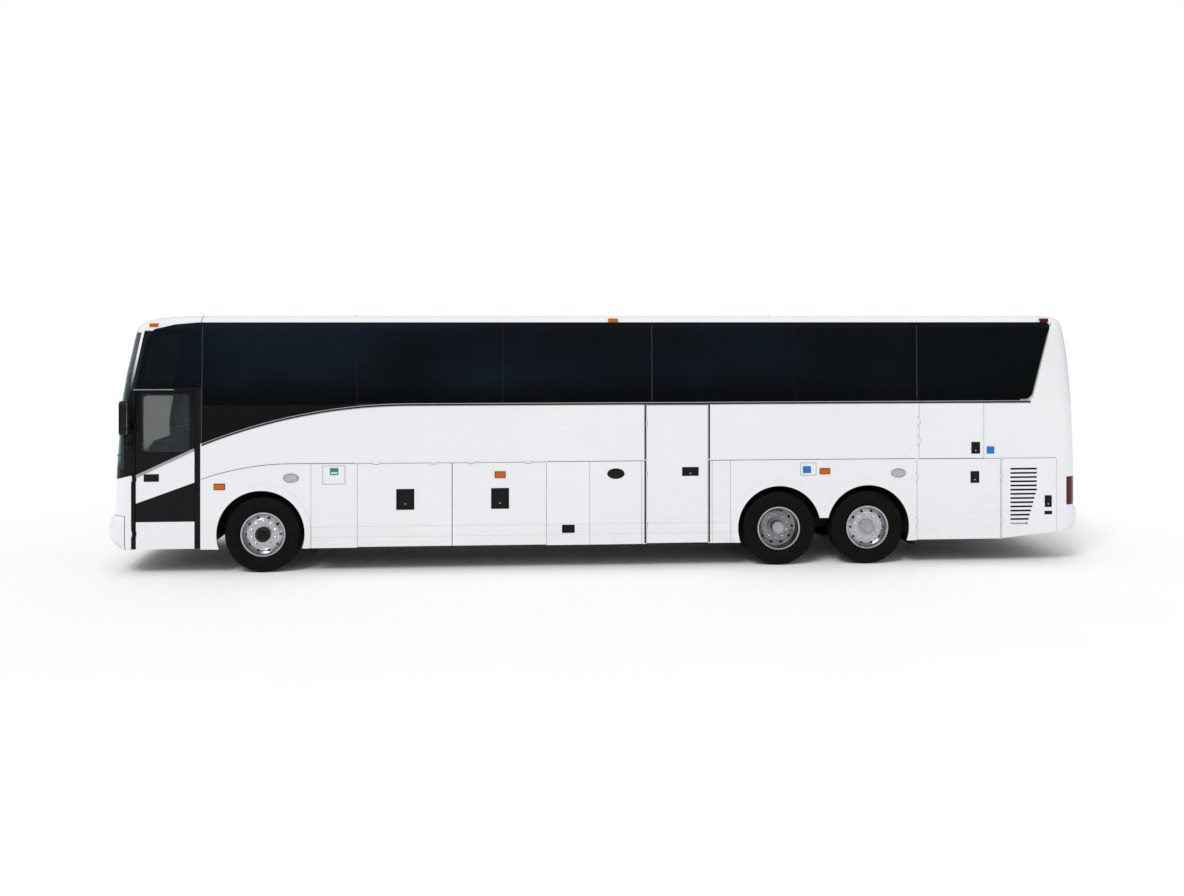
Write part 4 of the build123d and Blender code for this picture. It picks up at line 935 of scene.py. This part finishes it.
def placeSeamLines():
    cut = sideTrims
    start, end = cut["creaseSweep"][:2]
    swept = [(x, sweepZ(x, cut["creaseSweep"], cut["creaseLine"]))
             for x in stationsAlong(end, start, 8) + [cut["creaseFrontEnd"]]]
    routes = [("Front", swept)] + [(number, [(x, cut["creaseLine"]) for x in ends])
                                   for number, ends in enumerate(cut["creases"])]
    for label, route in routes:
        sideStrip(f"creaseLine{label}", route, *cut["creaseSize"], "seal", 0.0005, slot="rubber")
    seals = [plateOn(x0, x1, z0, cut["liftSealTop"], out, 0.003, 0.0012)
             for x0, x1, z0, out in cut["liftSeals"]]
    settle(joined(seals), "liftSeal", "seal", "coach")
    # bead round the slanted rear edge of the side glass and over the roof seam of the front cap
    edge = [(x, -sideY(z) + 0.004 + max(0.0, z - coach["cantStart"]) * cut["paneCant"], z)
            for x, z in cut["rearPane"]]
    fit(tube(edge, 0.011), "rearPaneBead", "leafTrim")
    fit(tube([(cut["capX"], y, z) for y, z in cut["capSeam"]], 0.0028), "capSeam", "seal")
    for number, (x, foot) in enumerate(cut["posts"]):
        leaningPost(x, foot, cut["postTop"], f"paneLine{number}", "dimTrim")


placeBelt()
placeSeamLines()
print("side trims made")

# handles, flaps, labels and lamp bases on the sides

sideFittings = {
    # door body, x, z, width, height, on both sides
    "latches": [("luggage_door_{}_1", -2.765, 0.992, 0.25, 0.29, True),
                ("luggage_door_{}_2", -1.457, 0.992, 0.25, 0.29, True),
                ("lift_door", 1.212, 1.343, 0.236, 0.126, False),
                ("hatch_door_left", 5.328, 1.645, 0.13, 0.17, False),
                ("service_door_left", 5.316, 1.227, 0.13, 0.17, False),
                ("louvre_door_{}", 6.397, 0.87, 0.106, 0.17, True)],
    # name, body, x0, x1, z0, z1, finish, both sides
    "flaps": [("fuelFlap", "coach", -3.894, -3.59, 1.213, 1.462, "body", True),
              ("sideFlap", "coach", 2.787, 3.007, 1.276, 1.448, "body", False),
              ("dropLatch", "louvre_door_{}", 6.345, 6.45, 0.684, 0.728, "plastic", True)],
    # name, x0, x1, z0, z1, finish
    "labels": [("fuelLabel", -3.794, -3.677, 1.337, 1.435, "greenLabel"),
               ("flapLabel", 2.817, 2.935, 1.305, 1.405, "blueLabel"),
               ("rearLabel", 5.49, 5.6, 1.56, 1.665, "blueLabel")],
    # body, x, z, width, height of the amber lamps below the glass
    "amber": [("coach", -5.288, 1.19, 0.135, 0.068), ("luggage_door_{}_2", -1.456, 1.322, 0.135, 0.075),
              ("coach", 3.136, 1.33, 0.135, 0.068)],
    # how far their bases stand out, how wide the rim is, and the rounding
    "amberBase": (0.0045, 0.009, 0.0018),
    # x, z, width, height of the docking lamps
    "dock": [(-4.323, 1.302, 0.18, 0.107), (4.198, 1.297, 0.18, 0.107)],
    "badge": (0.16, 1.322, 0.244, 0.148),
    "vent": (-0.596, -0.417, 0.5, 0.615),
    "ventBlades": 6,
    # radius and distance outboard, for ovals as shares of their size
    "barrel": [(0.0, 0.0015), (0.007, 0.001), (0.009, -0.001), (0.0095, -0.004)],
    "oval": [(0.5, -0.004), (0.5, 0.0015), (0.485, 0.004), (0.455, 0.005), (0.445, 0.0035), (0.43, 0.003),
             (0.0, 0.0042)],
    "dockRing": [(0.5, -0.003), (0.585, -0.002), (0.6, 0.004), (0.58, 0.01), (0.545, 0.012), (0.51, 0.01),
                 (0.5, 0.004), (0.5, -0.003)],
}


def makeTray(x, z, wide, tall):
    # dark recessed handle: a cup with a raised rim and a lifting paddle in its upper half
    cup = plateOn(x - wide / 2 + 0.002, x + wide / 2 - 0.002, z - tall / 2 + 0.002, z + tall / 2 - 0.002,
                  0.0035, 0.018, 0.003)
    insetFace(cup, min(wide, tall) * 0.09, -0.0022)
    low = z + tall * 0.02
    paddle = plateOn(x - wide * 0.36, x + wide * 0.36, low, z + tall * 0.36, 0.0065, 0.002, 0.0028, 3)
    insetFace(paddle, 0.006, -0.0012)
    low += 0.004
    lip = plateOn(x - wide * 0.3, x + wide * 0.3, low, low + tall * 0.07, 0.0085, -0.003, 0.002)
    barrel = turned(sideFittings["barrel"], (x, skin - 0.0035, z - tall * 0.22), outward, 18)
    return joined([cup, paddle, lip]), barrel


def placeLatches():
    for number, (body, x, z, wide, tall, both) in enumerate(sideFittings["latches"]):
        tray, lock = makeTray(x, z, wide, tall)
        fit(tray, f"latch{number}", "plastic", body, both=both)
        fit(lock, f"latchLock{number}", "chrome", body, both)


def placeFlaps():
    for name, body, x0, x1, z0, z1, finish, both in sideFittings["flaps"]:
        back = plateOn(x0 - 0.004, x1 + 0.004, z0 - 0.004, z1 + 0.004, 0.0008, 0.004, 0.0006, 1)
        fit(back, name + "Seal", "rubber", body, both)
        face = plateOn(x0, x1, z0, z1, 0.0035, 0.003, 0.0028, 3)
        if finish == "body":
            insetFace(face, 0.012, -0.0008)
        fit(face, name, finish, body, both)


def placeLabels():
    for name, x0, x1, z0, z1, finish in sideFittings["labels"]:
        face = plateOn(x0, x1, z0, z1, 0.0052, 0.001, 0.0006, 1)
        insetFace(face, 0.007, -0.0004)
        settle(face, name, finish, "coach")
        if finish == "greenLabel":
            band = plateOn(x0 + 0.014, x1 - 0.014, z0 + 0.016, z0 + 0.042, 0.006, -0.004, 0.0004, 1)
            settle(band, name + "Band", "plate", "coach")
    # the bare oval where the photograph has a badge
    x, z, wide, tall = sideFittings["badge"]
    badge = turned(sideFittings["oval"], (x, skin, z), outward, 56)
    stretched(badge, (wide, 1, tall), (x, skin, z))
    fit(badge, "badgeOval", "plastic")


def placeVent():
    x0, x1, z0, z1 = sideFittings["vent"]
    vent = plateOn(x0, x1, z0, z1, 0.002, 0.01, 0.0015, 1)
    insetFace(vent, 0.008, -0.0012)
    heights = stationsAlong(z0 + 0.014, z1 - 0.014, sideFittings["ventBlades"] - 1)
    blades = [plateOn(x0 + 0.012, x1 - 0.012, z - 0.0035, z + 0.0035, 0.0045, -0.0002, 0.0014)
              for z in heights]
    fit(joined([vent] + blades), "skirtVent", "plastic", both=False)


def placeLampFrames():
    out, grow, corner = sideFittings["amberBase"]
    for number, (body, x, z, wide, tall) in enumerate(sideFittings["amber"]):
        # a block whose outer face is let in, so that a ring stands round the lamp
        base = plateOn(x - wide / 2 - grow, x + wide / 2 + grow, z - tall / 2 - grow, z + tall / 2 + grow,
                       out, 0.002, corner, 3)
        chosenFaces(base, facesOut)
        bpy.ops.mesh.inset(thickness=grow * 0.6, depth=-out * 0.8)
        closeMesh()
        fit(base, f"markerBase{number}", "plastic", body)
    for number, (x, z, wide, tall) in enumerate(sideFittings["dock"]):
        ring = turned(sideFittings["dockRing"], (x, skin, z), outward, 48)
        stretched(ring, (wide, 1, tall), (x, skin, z))
        fit(ring, f"dockRing{number}", "trim")


placeLatches()
placeFlaps()
placeLabels()
placeVent()
placeLampFrames()
print("side fittings made")

# entry door

entryDoor = {
    "trim": [(-6.402, 1.3415), (-5.625, 1.702)],
    "trimSize": (0.008, 0.04),
    "handle": (-6.3, -6.096, 1.268, 1.372),
    "glass": (-6.337, -5.683, 1.672, 2.465),
    "beadRim": 0.012,
    "lock": [(0.0, 0.002), (0.008, 0.0016), (0.01, -0.0005), (0.01, -0.003)],
}


def placeDoorTrims():
    sideStrip("doorMoulding", entryDoor["trim"], *entryDoor["trimSize"], "trim",
              body="entry_door", both=False)
    x0, x1, z0, z1 = entryDoor["handle"]
    cup = plateOn(x0 + 0.002, x1 - 0.002, z0 + 0.002, z1 - 0.002, 0.004, 0.023, 0.004, 3)
    insetFace(cup, 0.01, -0.0025)
    grip = plateOn(x0 + 0.022, x1 - 0.022, z0 + 0.036, z0 + 0.066, 0.0105, -0.001, 0.004, 3)
    settle(joined([cup, grip]), "doorHandle", "plastic", "entry_door")
    lock = turned(entryDoor["lock"], (x1 - 0.02, skin - 0.0038, z1 - 0.02), outward, 20)
    settle(lock, "doorLock", "chrome", "entry_door")
    # rubber bead round the pane
    x0, x1, z0, z1 = entryDoor["glass"]
    rim = entryDoor["beadRim"]
    bead = plateOn(x0 - rim, x1 + rim, z0 - rim, z1 + rim, 0.0022, 0.004, 0.002, 1)
    chosenFaces(bead, lambda middle, normal: abs(normal.y) > 0.9)
    bpy.ops.mesh.inset(thickness=0.014, depth=0)
    bpy.ops.mesh.delete(type="FACE")
    closeMesh()
    settle(modified(bead, "SOLIDIFY", thickness=0.0015), "doorGlassBead", "rubber", "entry_door")


placeDoorTrims()
print("entry door made")

# seats

seatPlan = {
    "rows": 12,
    "firstX": -4.98,
    "pitch": 0.84,
    "base": 1.5,
    "places": [(0.262, 0.724), (0.736, 1.198)],
    "frame": (0.252, 1.208),
    # front, y0, y1 and floor of the driver's place
    "driver": (-5.79, 0.4, 0.9, 1.0),
    # x0, x1, z0, z1 from the front of the place and its floor
    "cushion": (0.012, 0.428, 0.352, 0.452),
    "shell": (0.51, 0.532, 0.33, 1.052),
    "pan": (0.01, 0.43, 0.331, 0.354),
    # a foot rail and its two legs, with the rounding of their edges
    "legs": [((0.135, 0.395, 0.003, 0.02), 0.003), ((0.16, 0.2, 0.018, 0.332), 0.004),
             ((0.34, 0.38, 0.018, 0.332), 0.004)],
    "legPlaces": (-0.19, 0.17),
    "legWide": 0.03,
    "backX": (0.434, 0.512),
    # z0, z1 and the drawing in of the lower back, the upper back and the headrest
    "backs": [(0.452, 0.7, 0.0), (0.704, 0.925, 0.004), (0.93, 1.066, 0.03)],
    "hinge": 0.43,
    "backTurn": 0.2035,
    "crownRims": (0.045, 0.055),
    "fill": 0.8,
}


def crowned(low, high, crown, axis, waist=0.012):
    # a cushion: its broad face is crowned and its sides pull in between the corners
    low, high = Vector(low), Vector(high)
    piece = softBlock(low, high, min(high - low) * 0.22, 2)
    chosenFaces(piece, lambda middle, normal: (normal.z if axis == "z" else -normal.x) > 0.95)
    flatRim, slopedRim = seatPlan["crownRims"]
    bpy.ops.mesh.inset(thickness=flatRim, depth=0)
    bpy.ops.mesh.inset(thickness=slopedRim, depth=crown)
    closeMesh()
    middle = (low + high) / 2
    half = (high - low) / 2
    side = 0 if axis == "z" else 2
    for vertex in piece.data.vertices:
        spot = vertex.co
        along = (spot.y - middle.y) / half.y
        other = (spot[side] - middle[side]) / half[side]
        spot[side] -= waist * (1 - along * along) * other
        spot.y -= waist * (1 - other * other) * along
    return modified(piece, "SUBSURF", levels=1)


def leanOver(x, base):
    # turns a back about the rear edge of its cushion
    hinge = seatPlan["hinge"]
    turn = Matrix.Rotation(seatPlan["backTurn"], 4, "Y")
    there = Matrix.Translation((x + hinge, 0, base + hinge))
    return there @ turn @ Matrix.Translation((-x - hinge, 0, -base - hinge))


def seatBox(box, x, base, y0, y1):
    x0, x1, z0, z1 = box
    return (x + x0, y0, base + z0), (x + x1, y1, base + z1)


def makeSeatPlace(x, y0, y1, base):
    # one place: seat cushion, a back in two channels and a headrest
    cushion = crowned(*seatBox(seatPlan["cushion"], x, base, y0, y1), 0.01, "z")
    backs = []
    for z0, z1, inward in seatPlan["backs"]:
        box = (*seatPlan["backX"], z0, z1)
        part = crowned(*seatBox(box, x, base, y0 + inward, y1 - inward), 0.008, "x", 0.006)
        part.data.transform(leanOver(x, base))
        backs.append(part)
    return cushion, backs


def makeSeatFrame(x, base, y0, y1):
    # shell behind the backs, and the pan on its legs
    shell = softBlock(*seatBox(seatPlan["shell"], x, base, y0, y1), 0.008)
    insetFace(shell, 0.05, -0.004, facesBack)
    shell.data.transform(leanOver(x, base))
    parts = [softBlock(*seatBox(seatPlan["pan"], x, base, y0, y1), 0.006)]
    for place in seatPlan["legPlaces"]:
        y = (y0 + y1) / 2 + place
        for box, edge in seatPlan["legs"]:
            parts.append(softBlock(*seatBox(box, x, base, y, y + seatPlan["legWide"]), edge, 1))
    return shell, joined(parts)


def inAllRows(master):
    # the master is the first place on the right side
    copies = []
    for row in range(seatPlan["rows"]):
        move = Matrix.Translation((seatPlan["pitch"] * row, 0, 0))
        if row:
            copies.append(copied(master, move))
        copies.append(copied(master, move @ Matrix.Scale(-1, 4, (0, 1, 0))))
    return joined([master] + copies)


def settleSeat(piece, name, finish, smooth=32):
    settle(piece, name, finish, "coach", smooth)
    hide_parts("seats")


def placeSeats():
    x, base = seatPlan["firstX"], seatPlan["base"]
    cushions = []
    for y0, y1 in seatPlan["places"]:
        cushion, backs = makeSeatPlace(x, y0, y1, base)
        cushions += [cushion] + backs
    shell, legs = makeSeatFrame(x, base, *seatPlan["frame"])
    # in each place the headrest is of hide
    for number, (master, finish) in enumerate(zip(cushions, ["fabric", "fabric", "fabric", "hide"] * 2)):
        settleSeat(inAllRows(master), f"seatCushion{number}", finish, 50)
    for number, (master, finish) in enumerate([(shell, "plastic"), (legs, "iron")]):
        settleSeat(inAllRows(master), f"seatFrame{number}", finish, 50)
    x, y0, y1, base = seatPlan["driver"]
    cushion, backs = makeSeatPlace(x, y0 + 0.01, y1 - 0.01, base)
    shell, legs = makeSeatFrame(x, base, y0 + 0.004, y1 - 0.004)
    for number, piece in enumerate([cushion] + backs):
        settleSeat(piece, f"driverCushion{number}", "hide", 50)
    settleSeat(shell, "driverShell", "plastic")
    settleSeat(legs, "driverLegs", "iron")


placeSeats()
print("seats made")

# nose, tail, mirrors and underside

ends = {
    # x, y, z and radius of the headlamp bowls
    "bowls": [(-6.716, 0.835, 1.025, 0.082), (-6.69, 1.01, 1.025, 0.072)],
    # radius as a share of the bowl's, and distance ahead
    "bowl": [(1, 0.012), (0.975, 0.004), (0.8, -0.009), (0.5, -0.016), (0.22, -0.018), (0.2, 0.0),
             (0.0, 0.004)],
    "lampRing": [(0.088, 0.012), (0.092, 0.014), (0.096, 0.01), (0.096, 0.002), (0.088, 0.002)],
    "lampRings": [("lampRing835", (-6.716, -0.835, 1.025)), ("lampRing1010", (-6.689925, -1.01, 1.025))],
    "fogPlace": (-6.8458, -0.93, 0.56),
    "fogBowlPlace": (-6.826, -0.93, 0.56),
    "fogRing": [(0.0715, -0.02), (0.072, 0.003), (0.076, 0.006), (0.082, 0.003), (0.084, -0.02)],
    "fogBowl": [(0.062, 0.006), (0.05, -0.004), (0.02, -0.01), (0.0, -0.01)],
    # middle and half sizes of the mirror head
    "mirror": (-6.5, 1.452, 2.155, 0.05, 0.105, 0.225),
    # name, finish, slot, two heights over the head's foot, rim, depth, stand-out and edge of its plates
    "mirrorPlates": [("mirrorGlass", "mirror", "wheel_alloy", 0.1, 0.434, 0.014, 0.002, 0.0035, 0.003),
                     ("spotGlass", "mirror", "wheel_alloy", 0.016, 0.088, 0.014, 0.002, 0.0035, 0.003),
                     ("mirrorBar", "plastic", "black_plastic", 0.088, 0.1, 0.008, 0.004, 0.0025, 0.002)],
    "mirrorFoot": (-6.5, -1.266, 1.775),
    "foot": [(0.0, 0.03), (0.012, 0.029), (0.022, 0.024), (0.028, 0.014), (0.036, 0.004), (0.04, 0.0),
             (0.04, -0.006)],
    "louvre": (5.76, 6.3, 0.56, 1.42),
    "louvreRibs": 13,
    "louvrePitch": 0.06,
    "hood": ((-6.4, 0.4, 1.776), (-6.235, 0.88, 1.85)),
    "dialX": -6.2465,
    "dialZ": 1.812,
    # y, radius and finish
    "dials": [(0.47, 0.024, "chrome"), (0.57, 0.028, "plate"), (0.7, 0.028, "plate"),
              (0.8, 0.024, "chrome")],
    # radius as a share of the dial's or in metres, and distance aft
    "dialMiddle": [(0.0, 0.0035), (0.003, 0.003), (0.0035, 0.0012)],
    "dialRim": [(0.82, 0.001), (0.9, 0.004), (1, 0.0035), (1, -0.002)],
    "bracket": [(0.0, 0.0), (0.02, 0.004), (0.034, 0.02), (0.052, 0.07), (0.058, 0.12), (0.056, 0.135),
                (0.0, 0.136)],
    "bracketPlace": (-4.035, -1.15, 0.212),
    "flapLip": ((4.392, -1.27, 0.262), (4.455, -1.0, 0.338)),
}


def placeMirrors():
    x, y, z, halfX, halfY, halfZ = ends["mirror"]
    rear, foot = x + halfX, z - halfZ
    for name, finish, slot, z0, z1, rim, deep, out, edge in ends["mirrorPlates"]:
        low, high = -y - halfY + rim, -y + halfY - rim
        face = softBlock((rear - deep, low, foot + z0), (rear + out, high, foot + z1), edge)
        fit(face, name, finish)
    fit(turned(ends["foot"], ends["mirrorFoot"], outward, 28), "mirrorFoot", "trim")


def placeLouvres():
    # painted shade: a dark sheet and ribs behind the slots, on the inside of each louvre door, stand in for
    # the shade inside
    x0, x1, z0, z1 = ends["louvre"]
    shadeSheet = softBlock((x0, -1.2425, z0), (x1, -1.2375, z1), 0.001, 1)
    fit(shadeSheet, "louvreShadeSheet", "plastic", "louvre_door_{}")
    ribs = []
    for number in range(ends["louvreRibs"]):
        z = z0 + 0.05 + ends["louvrePitch"] * number
        ribs.append(softBlock((x0 + 0.02, -1.245, z), (x1 - 0.02, -1.242, z + 0.006), 0.001, 1))
    fit(joined(ribs), "louvreRibs", "plastic", "louvre_door_{}")


def placeLampInners():
    for number, (x, y, z, radius) in enumerate(ends["bowls"]):
        profile = [(radius * share, along) for share, along in ends["bowl"]]
        fit(turned(profile, (x, -y, z), ahead, 40), f"lampBowl{number}", "lampInner")
    for name, place in ends["lampRings"]:
        fit(turned(ends["lampRing"], place, ahead, 40), name, "plastic")
    fit(turned(ends["fogRing"], ends["fogPlace"], ahead, 48), "fogRing", "plastic")
    bowl = turned(ends["fogBowl"], ends["fogBowlPlace"], ahead, 36)
    fit(bowl, "fogBowl", "lampInner")


def placeDash():
    # hooded cluster with four dials ahead of the steering wheel
    hood = softBlock(*ends["hood"], 0.02, 3)
    insetFace(hood, 0.008, -0.012, facesBack)
    settle(hood, "clusterHood", "dash", "coach")
    for number, (y, radius, finish) in enumerate(ends["dials"]):
        profile = ends["dialMiddle"] + [(radius * share, along) for share, along in ends["dialRim"]]
        dial = turned(profile, (ends["dialX"], y, ends["dialZ"]), (1, 0, 0), 28)
        settle(dial, f"dial{number}", finish, "coach")


def placeUnderPieces():
    # the jacking bracket behind the front wheel and the lip of the flap behind the tag wheel
    fit(turned(ends["bracket"], ends["bracketPlace"], (0, 0, 1), 24), "frontBracket", "plastic")
    fit(softBlock(*ends["flapLip"], 0.02, 3), "flapLip", "rubber")


placeMirrors()
placeLouvres()
placeLampInners()
placeDash()
placeUnderPieces()
print("ends made")
